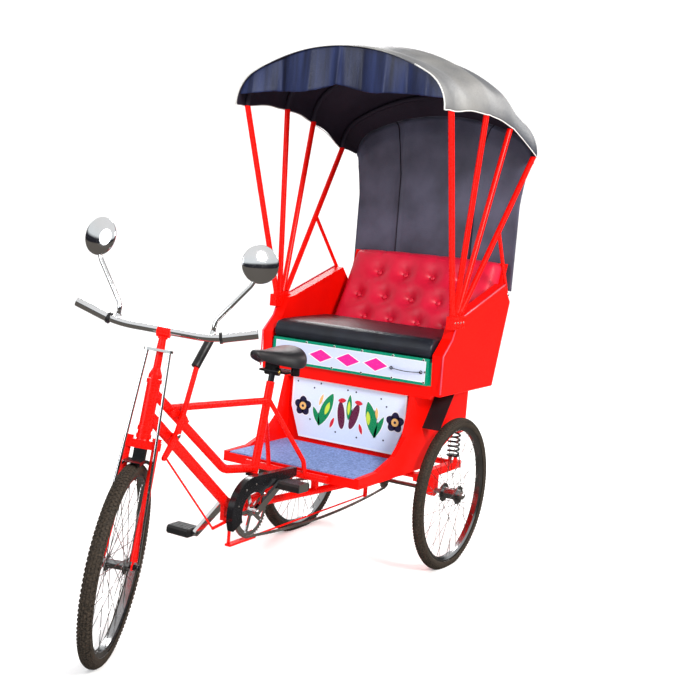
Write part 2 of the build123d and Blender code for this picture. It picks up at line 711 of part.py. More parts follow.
with BuildPart() as rear_cross_tubes:
    for x in REAR_CROSS_XS:
        half = MEMBER_Y - MEMBER_W / 2
        add(disc(BEAM_R, -half, half, x, REAR_CROSS_Z))
finish(rear_cross_tubes, "rear_cross_tubes")


def toothed_disc(teeth, radius, x, z):
    """A flat wheel with straight-sided teeth, its pitch circle about the point x, z."""
    with BuildPart() as wheel:
        with BuildSketch(side_plane(CHAIN_Y - RING_T / 2)):
            with Locations((x, z)):
                Circle(radius - TOOTH_ROOT)
                with PolarLocations(radius, teeth):
                    Polygon((-TOOTH_ROOT - 1, -TOOTH_BASE / 2), (TOOTH_TIP, -TOOTH_TOP / 2),
                            (TOOTH_TIP, TOOTH_TOP / 2), (-TOOTH_ROOT - 1, TOOTH_BASE / 2), align=None)
        extrude(amount=-RING_T)
    return wheel.part


# Axle shaft with the driven sprocket, turning with the left wheel
with BuildPart() as axle_shaft:
    add(disc(AXLE_R, -TRACK / 2 - HUB_HALF - 10, TRACK / 2 + HUB_HALF + 10, 0, WHEEL_R))
    for solid in both_sides(disc(AXLE_R + 6, TRACK / 2 + HUB_HALF, TRACK / 2 + HUB_HALF + 8, 0, WHEEL_R)):
        add(solid)
    add(toothed_disc(SPROCKET_TEETH, SPROCKET_R, 0, WHEEL_R))
    add(disc(AXLE_R + 10, CHAIN_Y - 14, CHAIN_Y + 14, 0, WHEEL_R))
finish(axle_shaft, "axle_shaft")

# Chain: wide and narrow links in turn along a closed line round both toothed wheels, slack below
ring_at = Vector(BB_X, BB_Z)
sprocket_at = Vector(0, WHEEL_R)
along = (ring_at - sprocket_at).normalized()
above = Vector(-along.Y, along.X)
lean = (RING_R - SPROCKET_R) / (ring_at - sprocket_at).length
upper_way = above * sqrt(1 - lean ** 2) - along * lean
lower_way = above * -sqrt(1 - lean ** 2) - along * lean


def chain_line(out):
    """The chain's line, moved outward, drawn in the open line builder."""
    big, small = RING_R + out, SPROCKET_R + out
    low_a, low_b = ring_at + lower_way * big, sprocket_at + lower_way * small
    slack = (low_a + low_b) * 0.5 + Vector(0, -CHAIN_SAG)
    Line(sprocket_at + upper_way * small, ring_at + upper_way * big)
    ThreePointArc(ring_at + upper_way * big, ring_at + along * big, low_a)
    ThreePointArc(low_a, slack, low_b)
    ThreePointArc(low_b, sprocket_at - along * small, sprocket_at + upper_way * small)


with BuildLine() as pitch_line:
    chain_line(0)
pitch_wire = pitch_line.wire()
links = 2 * round(pitch_wire.length / PITCH / 2)
link_l = pitch_wire.length / links
LINK_OUTLINE = [(-link_l / 2 - LINK_NOSE, 0), (-link_l / 2, CHAIN_T / 2), (link_l / 2, CHAIN_T / 2),
                (link_l / 2 + LINK_NOSE, 0), (link_l / 2, -CHAIN_T / 2), (-link_l / 2, -CHAIN_T / 2)]


def link_place(i):
    """Where link i lies on the chain's line, and its turn."""
    share = (i + 0.5) / links
    at, way = pitch_wire.position_at(share), pitch_wire.tangent_at(share)
    return Location((at.X, at.Y, 0), (0, 0, degrees(atan2(way.Y, way.X))))


with BuildPart() as chain:
    for first, width in ((0, CHAIN_W), (1, INNER_LINK_W)):
        with BuildSketch(side_plane(CHAIN_Y - width / 2)):
            with Locations(*[link_place(i) for i in range(first, links, 2)]):
                Polygon(*LINK_OUTLINE)
        extrude(amount=-width)
    with BuildSketch(side_plane(CHAIN_Y - SLOT_W / 2)):
        with BuildLine():
            chain_line(SLOT_TOP)
        make_face()
    extrude(amount=-SLOT_W, mode=Mode.SUBTRACT)
finish(chain, "chain")

# Chainring bolted to its spider, the two cranks and the spindle
with BuildPart() as chainring:
    add(toothed_disc(RING_TEETH, RING_R, BB_X, BB_Z))
    add(disc(RING_R - 20, CHAIN_Y - RING_T, CHAIN_Y + RING_T, BB_X, BB_Z), mode=Mode.SUBTRACT)
    with BuildSketch(side_plane(CHAIN_Y - ARM_T / 2)):
        with Locations((BB_X, BB_Z)):
            Circle(CRANK_W)
            with PolarLocations((RING_R - 14) / 2, ARMS):
                Rectangle(RING_R - 14, ARM_W)
            with PolarLocations(RING_R - 14, ARMS):
                Circle(ARM_W / 2)
            Circle(SPINDLE_R, mode=Mode.SUBTRACT)
    extrude(amount=-ARM_T)
    with BuildSketch(side_plane(CHAIN_Y - ARM_T)):
        with Locations((BB_X, BB_Z)):
            with PolarLocations(RING_R - 14, ARMS):
                Circle(ARM_W / 3)
    extrude(amount=-2 * ARM_T)
finish(chainring, "chainring")


def crank_solid(low, high, angle):
    """One crank arm, tapering to its pedal eye."""
    reach = Vector(cos(radians(angle)), sin(radians(angle))) * CRANK_L
    with BuildPart() as arm:
        with BuildSketch(side_plane(low)):
            with Locations((BB_X, BB_Z)):
                Circle(CRANK_W * 0.75)
            with Locations((BB_X + reach.X, BB_Z + reach.Y)):
                Circle(CRANK_W * 0.55)
            make_hull()
            with Locations((BB_X, BB_Z)):
                Circle(SPINDLE_R, mode=Mode.SUBTRACT)
            with Locations((BB_X + reach.X, BB_Z + reach.Y)):
                Circle(PEDAL_PIN_R + RUN_GAP, mode=Mode.SUBTRACT)
        extrude(amount=low - high)
    return arm.part


for name, hand in SIDES:
    angle = 180 - CRANK_REST if name == "left" else -CRANK_REST
    face = hand * CRANK_Y
    with BuildPart() as crank:
        add(crank_solid(face - CRANK_T / 2, face + CRANK_T / 2, angle))
        if hand < 0:
            add(disc(SPINDLE_R, -CRANK_Y - CRANK_T / 2, CRANK_Y + CRANK_T / 2, BB_X, BB_Z))
    finish(crank, f"crank_{name}")
    x, z = BB_X + CRANK_L * cos(radians(angle)), BB_Z + CRANK_L * sin(radians(angle))
    inner = CRANK_Y + CRANK_T / 2 + PEDAL_GAP
    with BuildPart() as pedal:
        with BuildSketch(side_plane(inner)) as end_plate:
            with Locations((x, z)):
                Rectangle(PEDAL_W, PEDAL_T)
            chamfer(end_plate.vertices(), PEDAL_T / 4)
        extrude(amount=-PEDAL_L)
        with BuildSketch(side_plane(inner + PEDAL_PLATE_T)):
            with Locations((x, z)):
                with GridLocations(PEDAL_W / 5, PEDAL_T, 4, 2):
                    Rectangle(GROOVE_W, 2 * GROOVE_W)
        extrude(amount=2 * PEDAL_PLATE_T - PEDAL_L, mode=Mode.SUBTRACT)
        add(disc(PEDAL_PIN_R, CRANK_Y - CRANK_T / 2, inner + 5, x, z))
        if hand < 0:
            pedal.part = pedal.part.mirror(Plane.XZ)
    finish(pedal, f"pedal_{name}")

# Chain case: a curved guard over the ring, open below and towards the frame
with BuildPart() as chain_case:
    for inset, low, high, open_low in ((0, CASE_Y, CASE_OUT_Y, 0),
                                       (CASE_T, CASE_Y - 1, CASE_OUT_Y - CASE_T, 40)):
        radius = CASE_R - inset
        with BuildSketch(side_plane(low)):
            with BuildLine():
                rays = [Vector(cos(radians(a)), sin(radians(a))) for a in (CASE_FRONT_A, 30, 90)]
                start, front, top = [ring_at + ray * radius for ray in rays]
                ThreePointArc(start, front, top)
                Polyline(top, (CASE_TAIL_X - open_low, CASE_TAIL_Z + 16 - inset),
                         (CASE_TAIL_X - open_low, CASE_TAIL_Z - 16 - open_low),
                         (BB_X - CASE_IN_R, BB_Z + CASE_IN_R - open_low), ring_at, start)
            make_face()
        extrude(amount=low - high, mode=Mode.SUBTRACT if open_low else Mode.ADD)
    add(disc(CASE_IN_R, CASE_Y - 5, CASE_OUT_Y + 5, BB_X, BB_Z), mode=Mode.SUBTRACT)
    add(block(*CASE_STRAP))
    add(upper_bar, mode=Mode.SUBTRACT)
with BuildPart() as kept_case:
    add(chain_case.part.solids().sort_by(SortBy.VOLUME)[-1])
finish(kept_case, "chain_case")

# Tub: two side panels, the floor, the front rail and strip board, the seat board and the back
with BuildPart() as side_panel:
    add(plate(SIDE_OUTLINE, RAIL_HALF, TUB_HALF))
    fillet(side_panel.edges().filter_by(Plane.XZ).filter_by_position(Axis.Y, TUB_HALF - 1, TUB_HALF + 1), 8)
side_solid = side_panel.part
for name, hand in SIDES:
    with BuildPart() as tub_side:
        add(side_solid if hand > 0 else side_solid.mirror(Plane.XZ))
    finish(tub_side, f"tub_side_{name}")

back_slope = (SIDE_OUTLINE[6][0] - SIDE_OUTLINE[7][0]) / (SIDE_OUTLINE[6][1] - SIDE_OUTLINE[7][1])
back_foot = SIDE_OUTLINE[7][0]


def back_x(z):
    """Where the rear face of the back board is at the height z."""
    return back_foot + back_slope * (z - TUB_LOW)


board_top = STRIP_TOP
board_low = board_top - SEAT_BOARD_T
floor_top = TUB_LOW + FLOOR_T
rail_rear = STRIP_X - STRIP_T - RAIL_T
with BuildPart() as tub_floor:
    add(block((back_foot + BACK_T + 6, rail_rear), (-RAIL_HALF, RAIL_HALF), (TUB_LOW, floor_top)))
    add(block((rail_rear, STRIP_X - STRIP_T), (-RAIL_HALF, RAIL_HALF), (RAIL_LOW, RAIL_TOP)))
finish(tub_floor, "tub_floor")
with BuildPart() as strip_board:
    add(block((STRIP_X - STRIP_T, STRIP_X), (-RAIL_HALF + 14, RAIL_HALF - 14), (RAIL_TOP, STRIP_TOP)))
    add(block((STRIP_X - STRIP_T - 22, STRIP_X - STRIP_T), (-RAIL_HALF, RAIL_HALF), (RAIL_TOP, board_low)))
finish(strip_board, "strip_board")
with BuildPart() as seat_board:
    add(block((back_x(board_top) + BACK_T + 6, STRIP_X - STRIP_T), (-RAIL_HALF, RAIL_HALF),
              (board_low, board_top)))
finish(seat_board, "seat_board")
with BuildPart() as back_board:
    outline = [(back_x(TUB_LOW), TUB_LOW), (back_x(BACK_TOP), BACK_TOP),
               (back_x(BACK_TOP) + BACK_T, BACK_TOP), (back_x(TUB_LOW) + BACK_T, TUB_LOW)]
    add(plate(outline, -RAIL_HALF, RAIL_HALF))
finish(back_board, "back_board")

# Cushion and backrest, plain closed forms
pad_low = board_top + SOFT_GAP
with BuildPart() as seat_cushion:
    outline = [(PAD_FOOT_X + 20, pad_low), (CUSHION_FRONT, pad_low), (CUSHION_FRONT, CUSHION_TOP - 8),
               (PAD_FOOT_X + 20, CUSHION_TOP + 6)]
    add(plate(outline, -RAIL_HALF + SOFT_GAP, RAIL_HALF - SOFT_GAP))
    fillet(seat_cushion.edges().filter_by(Axis.Y).group_by(Axis.X)[-1].sort_by(Axis.Z)[-1], 34)
finish(seat_cushion, "seat_cushion")
with BuildPart() as backrest:
    rear = BACK_T + SOFT_GAP
    outline = [(back_x(pad_low) + rear, pad_low), (back_x(BACK_TOP) + rear, BACK_TOP + 8),
               (PAD_TOP_X, BACK_TOP + 8), (PAD_FOOT_X + 20 - SOFT_GAP, pad_low + 30),
               (PAD_FOOT_X + 20 - SOFT_GAP, pad_low)]
    add(plate(outline, -BACK_HALF, BACK_HALF))
    fillet(backrest.edges().filter_by(Axis.Y).group_by(Axis.Z)[-1].sort_by(Axis.X)[-1], 14)
finish(backrest, "backrest")

# Box under the bench: painted front board between two side walls
with BuildPart() as art_board:
    cut_z, cut_y = 645.0, ART_HALF
    with BuildSketch(Plane.YZ.offset(ART_X - ART_T)):
        with BuildLine():
            Polyline((-232, ART_LOW), (232, ART_LOW), (ART_HALF, cut_z), (ART_HALF, RAIL_LOW),
                     (-ART_HALF, RAIL_LOW), (-ART_HALF, cut_z), close=True)
        make_face()
    extrude(amount=ART_T)
finish(art_board, "art_board")
inner = BOX_HALF - BOX_T
with BuildPart() as box_front:
    with BuildSketch(Plane.YZ.offset(ART_X - ART_T - SHEET_T * 2)):
        with Locations((0, (RAIL_LOW + FOOT_LOW + SHEET_T) / 2)):
            Rectangle(2 * inner, RAIL_LOW - FOOT_LOW - SHEET_T)
    extrude(amount=SHEET_T * 2)
finish(box_front, "box_front")
well = FOOT_FRONT - ART_X
WALL_OUTLINE = [(FOOT_FRONT, FOOT_LOW), (FOOT_FRONT, FOOT_TOP), (ART_X + 0.65 * well, FOOT_TOP + 4),
                (ART_X + 0.34 * well, 540), (ART_X + 0.14 * well, 610), (ART_X + 14, RAIL_LOW),
                (BOX_REAR - 110, RAIL_LOW), (BOX_REAR - 110, 610), (40, 500), (110, FOOT_LOW)]
with BuildPart() as wall:
    add(plate(WALL_OUTLINE, inner, BOX_HALF))
with BuildPart() as foot_pan:
    add(block((110, ART_X), (-inner, inner), (FOOT_LOW, FOOT_LOW + SHEET_T)))
    add(block((ART_X, FOOT_FRONT), (-inner, inner), (FOOT_LOW, FOOT_TOP - MAT_T)))
finish(foot_pan, "foot_pan")
with BuildPart() as floor_mat:
    add(block((ART_X + 1, FOOT_FRONT - SHEET_T - 2), (-inner + 3, inner - 3), (FOOT_TOP - MAT_T, FOOT_TOP)))
finish(floor_mat, "floor_mat")

# Splash boards between the box walls and the wheels
(sx0, sz0), (sx1, sz1) = SPLASH_LINE
with BuildPart() as splash:
    add(plate([(sx0, TUB_LOW), (sx1, sz1), (sx1 + SPLASH_T, sz1), (sx0 + SPLASH_T * 1.4, TUB_LOW)],
              BOX_HALF, SPLASH_HALF))
with BuildPart() as splash_boards:
    for solid in both_sides(splash.part):
        add(solid)
finish(splash_boards, "splash_boards")

# Springs between the side members and the box walls, and the cups above them
coil_low = SPRING_LOW + 1.2 * SPRING_WIRE_R
coil_h = SPRING_LOW + SPRING_TOP - 2 * coil_low
with BuildPart() as spring:
    with BuildLine() as coil:
        Helix(pitch=coil_h / SPRING_TURNS, height=coil_h, radius=SPRING_R - 1.2 * SPRING_WIRE_R,
              center=(SPRING_X, MEMBER_Y, coil_low))
    turns = coil.wire()
    with BuildSketch(Plane(origin=turns @ 0, z_dir=turns % 0)):
        RegularPolygon(SPRING_WIRE_R, 8)
    sweep(path=turns, is_frenet=True)
    for low in (SPRING_LOW, SPRING_TOP - SPRING_WIRE_R):
        with BuildSketch(Plane.XY.offset(low)):
            with Locations((SPRING_X, MEMBER_Y)):
                Circle(SPRING_R)
        extrude(amount=SPRING_WIRE_R)
with BuildPart() as springs:
    for solid in both_sides(spring.part.solids().sort_by(SortBy.VOLUME)[-1]):
        add(solid)
finish(springs, "springs")
with BuildPart() as box_wall:
    add(wall.part)
    add(block((SPRING_X - 34, SPRING_X + 34), (inner, MEMBER_Y + 34), (SPRING_TOP, SPRING_TOP + 6)))
    add(block((SPRING_X - 34, SPRING_X + 34), (inner, inner + 8), (SPRING_TOP, 640)))
with BuildPart() as box_walls:
    for solid in both_sides(box_wall.part):
        add(solid)
finish(box_walls, "box_walls")

# Saddle on its clamp
seat_top = SEAT_TUBE[0]
with BuildPart() as clamp:
    add(tube([(seat_top[0] - 6, 0, seat_top[1] + 30), (seat_top[0], 0, seat_top[1] - 1)], 12))
    add(disc(14, -30, 30, seat_top[0] - 8, seat_top[1] + 38))
    add(seat_bar, mode=Mode.SUBTRACT)
with BuildPart() as saddle:
    for share, half, dip, depth in SADDLE_SECTIONS:
        top, low = SADDLE_TOP - dip, SADDLE_TOP - depth
        shoulder = (top + low) / 2
        with BuildSketch(cross_plane(SADDLE_X + share * SADDLE_L)):
            with BuildLine():
                ThreePointArc((-half, shoulder), (0, top), (half, shoulder))
                Polyline((half, shoulder), (0.9 * half, low), (-0.9 * half, low), (-half, shoulder))
            make_face()
    loft(ruled=True)
finish(saddle, "saddle")
with BuildPart() as saddle_post:
    add(clamp.part)
    for y in (-60, 60):
        with BuildSketch(Plane.XY.offset(seat_top[1] + 24)):
            with Locations((SADDLE_X - 70, y)):
                Circle(17)
        extrude(amount=SADDLE_TOP - SADDLE_DEPTH - seat_top[1] - 24)
    add(block((SADDLE_X - 84, seat_top[0] - 8), (-62, 62), (seat_top[1] + 34, seat_top[1] + 42)))
    add(block((seat_top[0] - 20, seat_top[0] + 4), (-22, 22), (seat_top[1] + 38, SADDLE_TOP - SADDLE_DEPTH)))
finish(saddle_post, "saddle_post")

# Hood: brackets on the tub, four bows of two legs and an arch, braces, cover and rear curtain
bracket_half = FOOT_PITCH * 1.5 + BOW_R + 6
with BuildPart() as foot_bracket:
    add(block((FOOT_X - bracket_half, FOOT_X + bracket_half), (FOOT_Y - BOW_R - 2, FOOT_Y + BOW_R + 6),
              (FOOT_Z - 52, FOOT_Z)))
    add(side_solid, mode=Mode.SUBTRACT)
with BuildPart() as hood_brackets:
    for solid in both_sides(foot_bracket.part.solids().sort_by(SortBy.VOLUME)[-1]):
        add(solid)
finish(hood_brackets, "hood_brackets")


def arch_line(half, side, crown, grow):
    """An arch, drawn in the open line builder: shoulder, wide top arc, shoulder, all grown outward."""
    rise = crown - side
    small = SHOULDER * rise
    wide = ((half - small) ** 2 + rise ** 2 - small ** 2) / (2 * (rise - small))
    turn = degrees(atan2(wide - rise, half - small))
    CenterArc((half - small, side), small + grow, 0, turn)
    CenterArc((0, side + rise - wide), wide + grow, turn, 180 - 2 * turn)
    CenterArc((small - half, side), small + grow, 180 - turn, turn)


def arch_face(x, half, side, crown, grow):
    """The area under such an arch, closed along its foot."""
    with BuildSketch(cross_plane(x)) as area:
        with BuildLine():
            arch_line(half, side, crown, grow)
            Line((-half - grow, side), (half + grow, side))
        make_face()
    return area.sketch


cover_in = BOW_R + COVER_GAP
cover_out = cover_in + ROOF_T
with BuildPart() as hood_arches:
    for x, half, side, crown in BOWS:
        with BuildLine(cross_plane(x)) as line:
            arch_line(half, side, crown, 0)
        with BuildSketch(Plane.XY.offset(side)):
            with Locations((x, half)):
                Circle(BOW_R)
        sweep(path=line.wire())
finish(hood_arches, "hood_arches")
with BuildPart() as one_side_legs:
    for i, (x, half, side, crown) in enumerate(BOWS):
        foot = Vector(FOOT_X + (1.5 - i) * FOOT_PITCH, FOOT_Y, FOOT_Z + BOW_R)
        top = Vector(x, half, side)
        add(tube([foot, top + (top - foot).normalized() * BOW_R], BOW_R))
        with BuildSketch(Plane.XY.offset(FOOT_Z)):
            with Locations((foot.X, foot.Y)):
                Circle(BOW_R)
        extrude(amount=BOW_R)
        add(block((x - 60, x + 60), (half - 60, half + 60), (side, side + 60)), mode=Mode.SUBTRACT)
with BuildPart() as hood_legs:
    for leg in one_side_legs.part.solids():
        for solid in both_sides(leg):
            add(solid)
finish(hood_legs, "hood_legs")

last_x, last_half, last_side, last_crown = BOWS[-1]
last_foot = Vector(FOOT_X - 1.5 * FOOT_PITCH, FOOT_Y, FOOT_Z + BOW_R)
brace_top = last_foot + (Vector(last_x, last_half, last_side) - last_foot) * BRACE_SHARE
with BuildPart() as brace:
    add(tube([brace_top, BRACE_FOOT], BRACE_R))
    add(one_side_legs.part, mode=Mode.SUBTRACT)
    add(side_solid, mode=Mode.SUBTRACT)
with BuildPart() as hood_braces:
    for solid in both_sides(brace.part.solids().sort_by(SortBy.VOLUME)[-1]):
        add(solid)
finish(hood_braces, "hood_braces")

# Cover: a thin shell drawn over the arches, open below, with a deep valance across its front
behind_bow = (BOWS[-1][0] - BOW_R - 4,) + BOWS[-1][1:]
roof_sections = [(ROOF_FRONT,) + FRONT_EDGE] + BOWS + [behind_bow, (ROOF_REAR,) + REAR_EDGE]
with BuildPart() as hood_cover:
    for grow, end, mode in ((cover_out, 0, Mode.ADD), (cover_in, ROOF_T, Mode.SUBTRACT)):
        for x, half, side, crown in roof_sections:
            shift = {ROOF_FRONT: -end, ROOF_REAR: end}.get(x, 0.0)
            add(arch_face(x + shift, half, side - end / 8, crown, grow))
        loft(ruled=True, mode=mode)
    x, half, side, crown = roof_sections[0]
    add(arch_face(x + 2, half - 3 * ROOF_T, side - ROOF_T, crown - VALANCE, 0))
    extrude(amount=-2 * ROOF_T, mode=Mode.SUBTRACT)
finish(hood_cover, "hood_cover")
with BuildPart() as rear_curtain:
    front = ROOF_REAR + ROOF_T + SOFT_GAP + CURTAIN_T
    add(block((front - CURTAIN_T, front), (-CURTAIN_HALF, CURTAIN_HALF), (CURTAIN_LOW, CURTAIN_TOP - 120)))
finish(rear_curtain, "rear_curtain")

# Hand brake: lever on the down tube, its grip, and the linkage to the foot pedal and the rear
with BuildPart() as lever:
    add(tube(flat(LEVER[:2], LEVER_Y), LEVER_R))
    for (start, wide), (end, narrow) in zip(LEVER_PLATE, LEVER_PLATE[1:]):
        with BuildSketch(side_plane(LEVER_Y - LEVER_T / 2)):
            with Locations(start):
                Circle(wide)
            with Locations(end):
                Circle(narrow)
            make_hull()
        extrude(amount=-LEVER_T)
    add(disc(LEVER_BOLT_R, 0, LEVER_Y + LEVER_T, *LEVER[2]))
    add(down_bar, mode=Mode.SUBTRACT)
with BuildPart() as brake_lever:
    add(lever.part.solids().sort_by(SortBy.VOLUME)[-1])
lever_solid = brake_lever.part
finish(brake_lever, "brake_lever")
with BuildPart() as lever_grip:
    add(tube(flat(LEVER_GRIP, LEVER_Y), LEVER_GRIP_R))
    add(lever_solid, mode=Mode.SUBTRACT)
finish(lever_grip, "lever_grip")
with BuildPart() as linkage:
    add(tube([(LEVER[-1][0] - 4, LEVER_Y, LEVER[-1][1] + 3), (LINK_FRONT[0], LINK_Y, LINK_FRONT[1])], ROD_R))
    add(tube(flat([LINK_FRONT, (LINK_X, LINK_Z)], LINK_Y), LINK_T / 2))
    add(tube(flat([(LINK_X, LINK_Z), (LINK_X, FOOT_PEDAL[1])], LINK_Y), LINK_T / 2))
    add(block((FOOT_PEDAL[0], LINK_X + 8), (LINK_Y - 10, LINK_Y + 14), (FOOT_PEDAL[1] - 8, FOOT_PEDAL[1])))
    add(disc(8, 0, LINK_Y + LINK_T / 2, LINK_X, LINK_Z))
    add(block((LINK_X - 9, LINK_X + 9), (-9, 9), (LINK_Z - 8, LINK_Z + 60)))
    add(tube([(FOOT_PEDAL[0] + 4, LINK_Y, FOOT_PEDAL[1] - 4), (REAR_CROSS_XS[0], LINK_Y, REAR_ROD_Z)], ROD_R))
    add(block((REAR_CROSS_XS[0] - 8, REAR_CROSS_XS[0] + 8), (LINK_Y - 6, LINK_Y + 6),
              (REAR_ROD_Z - 8, REAR_CROSS_Z)))
    add(down_bar, mode=Mode.SUBTRACT)
    add(lever_solid, mode=Mode.SUBTRACT)
    add(disc(BEAM_R, -MEMBER_Y, MEMBER_Y, REAR_CROSS_XS[0], REAR_CROSS_Z), mode=Mode.SUBTRACT)
with BuildPart() as brake_linkage:
    add(linkage.part.solids().sort_by(SortBy.VOLUME)[-1])
finish(brake_linkage, "brake_linkage")

# Places that the joints and the mounts use, from the origin
origin = Vector(ORIGIN_X, 0, 0)
for label, place in [("steering foot", STEER_FOOT), ("front axle", Vector(WHEELBASE, 0, FRONT_AXLE_Z)),
                     ("rear axle", Vector(0, 0, WHEEL_R)), ("crank", Vector(BB_X, 0, BB_Z))]:
    print(label, tuple(place - origin))
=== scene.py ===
# %% [markdown]
# # A pedal passenger tricycle, dressed for its portrait
#
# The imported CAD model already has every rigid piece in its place: wheels, frame, tub and hood bows.
# This lesson gives those pieces their materials and adds what CAD leaves out: tyre tread, cloth,
# buttoned upholstery, painted ornament, seams, rivets and bolts. The model's joints say where the rear
# axle and the steering's tilted axis are, and many places below are measured from those.
#
# Everything is in metres and in the model's own frame: X forward, Y to the vehicle's left, Z up.

import json
from math import atan2, cos, hypot, pi, radians, sin

import bmesh
import bpy
from mathutils import Matrix, Vector, noise


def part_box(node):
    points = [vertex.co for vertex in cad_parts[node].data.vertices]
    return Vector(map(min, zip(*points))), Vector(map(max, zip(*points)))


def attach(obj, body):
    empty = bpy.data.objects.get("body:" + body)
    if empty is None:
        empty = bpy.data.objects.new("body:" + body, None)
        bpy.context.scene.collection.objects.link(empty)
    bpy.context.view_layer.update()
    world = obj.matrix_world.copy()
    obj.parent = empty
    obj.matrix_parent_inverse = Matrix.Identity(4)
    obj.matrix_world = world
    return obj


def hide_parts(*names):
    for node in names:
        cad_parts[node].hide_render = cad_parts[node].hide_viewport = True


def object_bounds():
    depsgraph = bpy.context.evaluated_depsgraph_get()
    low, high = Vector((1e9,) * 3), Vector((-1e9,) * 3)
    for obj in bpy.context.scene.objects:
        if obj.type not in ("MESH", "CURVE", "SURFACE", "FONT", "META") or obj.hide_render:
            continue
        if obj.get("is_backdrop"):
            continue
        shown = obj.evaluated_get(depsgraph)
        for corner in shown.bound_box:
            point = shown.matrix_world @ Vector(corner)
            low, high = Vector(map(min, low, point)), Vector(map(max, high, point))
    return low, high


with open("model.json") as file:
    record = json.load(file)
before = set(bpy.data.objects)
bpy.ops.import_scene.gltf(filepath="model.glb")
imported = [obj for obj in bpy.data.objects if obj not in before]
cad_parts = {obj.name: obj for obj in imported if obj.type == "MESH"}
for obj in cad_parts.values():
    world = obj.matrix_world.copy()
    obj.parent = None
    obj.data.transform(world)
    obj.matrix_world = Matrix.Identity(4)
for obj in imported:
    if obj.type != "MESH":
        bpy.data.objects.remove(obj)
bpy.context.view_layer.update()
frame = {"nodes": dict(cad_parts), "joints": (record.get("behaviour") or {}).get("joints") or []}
cad = frame["nodes"]
joints = {joint["name"]: joint for joint in frame["joints"]}
REAR_AXLE_X = joints["rear_left_spin"]["pos_m"][0]
STEER_AT, STEER_UP = Vector(joints["steering_turn"]["pos_m"]), Vector(joints["steering_turn"]["axis"])

# %% [markdown]
# ## The camera
#
# The photograph was measured first: the three wheels have one size, so their ellipses give the
# camera's place, direction and focal length. A little roll and a small shift finish the match.

# %% Camera
CAMERA_AT = Vector((3.592, 2.368, 1.513))
YAW, PITCH, ROLL = radians(210.9), radians(-6.6), radians(4.5)
FOCAL_PX, FRAME_PX = 1137, 677

ahead = Vector((cos(PITCH) * cos(YAW), cos(PITCH) * sin(YAW), sin(PITCH)))
level_right = Vector((sin(YAW), -cos(YAW), 0))
level_up = level_right.cross(ahead)
right = level_right * cos(ROLL) + level_up * sin(ROLL)
up = right.cross(ahead)
turn = Matrix((right, up, -ahead)).transposed().to_4x4()

lens = bpy.data.cameras.new("photo_lens")
lens.lens = FOCAL_PX / FRAME_PX * lens.sensor_width
lens.shift_x = 4 / FRAME_PX
camera = bpy.data.objects.new("photo_camera", lens)
camera.matrix_world = Matrix.Translation(CAMERA_AT) @ turn
bpy.context.collection.objects.link(camera)
bpy.context.scene.camera = camera
print("lens", round(lens.lens, 1), "mm")

# %% [markdown]
# ## Floor and light
#
# A pale sweep stands in for the studio, and a wide plane just below it carries the white ground on in
# views from other sides. A soft light from the camera's right is the sun, a fainter one fills the left,
# one from behind edges the frame, and a wide one behind the tricycle glances off the hood's near flank.
# Shiny pieces mirror the sky's own ground and its dark band at the horizon instead of the white
# sweep, as they did outdoors, or else their edges would melt into the picture's white.


# %% Floor
def mesh_object(name, bm, materials):
    """Turns a bmesh into an object with smooth faces and the given materials."""
    mesh = bpy.data.meshes.new(name)
    bm.to_mesh(mesh)
    bm.free()
    mesh.polygons.foreach_set("use_smooth", [True] * len(mesh.polygons))
    for material in materials:
        mesh.materials.append(material)
    made = bpy.data.objects.new(name, mesh)
    bpy.context.collection.objects.link(made)
    return made


def skin(bm, rows, closed=False):
    """Joins each row of points to the next one with faces; a closed row also joins its own ends."""
    for one, two in zip(rows, rows[1:]):
        for k in range(len(one) if closed else len(one) - 1):
            n = (k + 1) % len(one)
            bm.faces.new((one[k], one[n], two[n], two[k]))


def smoothed(piece, levels):
    """Adds a Subdivision Surface that is as fine in the view as in the render."""
    smooth = piece.modifiers.new("smooth", "SUBSURF")
    smooth.levels = smooth.render_levels = levels


def thicken(piece, wall, offset):
    """Adds a Solidify modifier and gives it back."""
    thick = piece.modifiers.new("thickness", "SOLIDIFY")
    thick.thickness, thick.offset = wall, offset
    return thick


def shader_node(tree, kind, links=(), **settings):
    """Adds a node. links holds input name and value pairs, a socket being linked."""
    made = tree.nodes.new(kind)
    for key, value in settings.items():
        setattr(made, key, value)
    for key, value in dict(links).items():
        if isinstance(value, bpy.types.NodeSocket):
            tree.links.new(value, made.inputs[key])
        else:
            made.inputs[key].default_value = value
    return made


def object_xyz(tree):
    """A node that gives the point's own X, Y and Z."""
    own_place = shader_node(tree, "ShaderNodeTexCoord").outputs["Object"]
    return shader_node(tree, "ShaderNodeSeparateXYZ", {0: own_place})


floor_material = bpy.data.materials.new("studio_floor")
floor_material.use_nodes = True
floor_shader = floor_material.node_tree.nodes["Principled BSDF"]
for socket, value in (("Base Color", (0.90, 0.90, 0.90, 1)), ("Roughness", 0.8), ("Specular IOR Level", 0.1),
                      ("Emission Color", (1, 1, 1, 1)), ("Emission Strength", 0.14)):
    floor_shader.inputs[socket].default_value = value

SWEEP_HALF, GROUND_HALF, GROUND_Z = 9, 60, -0.004
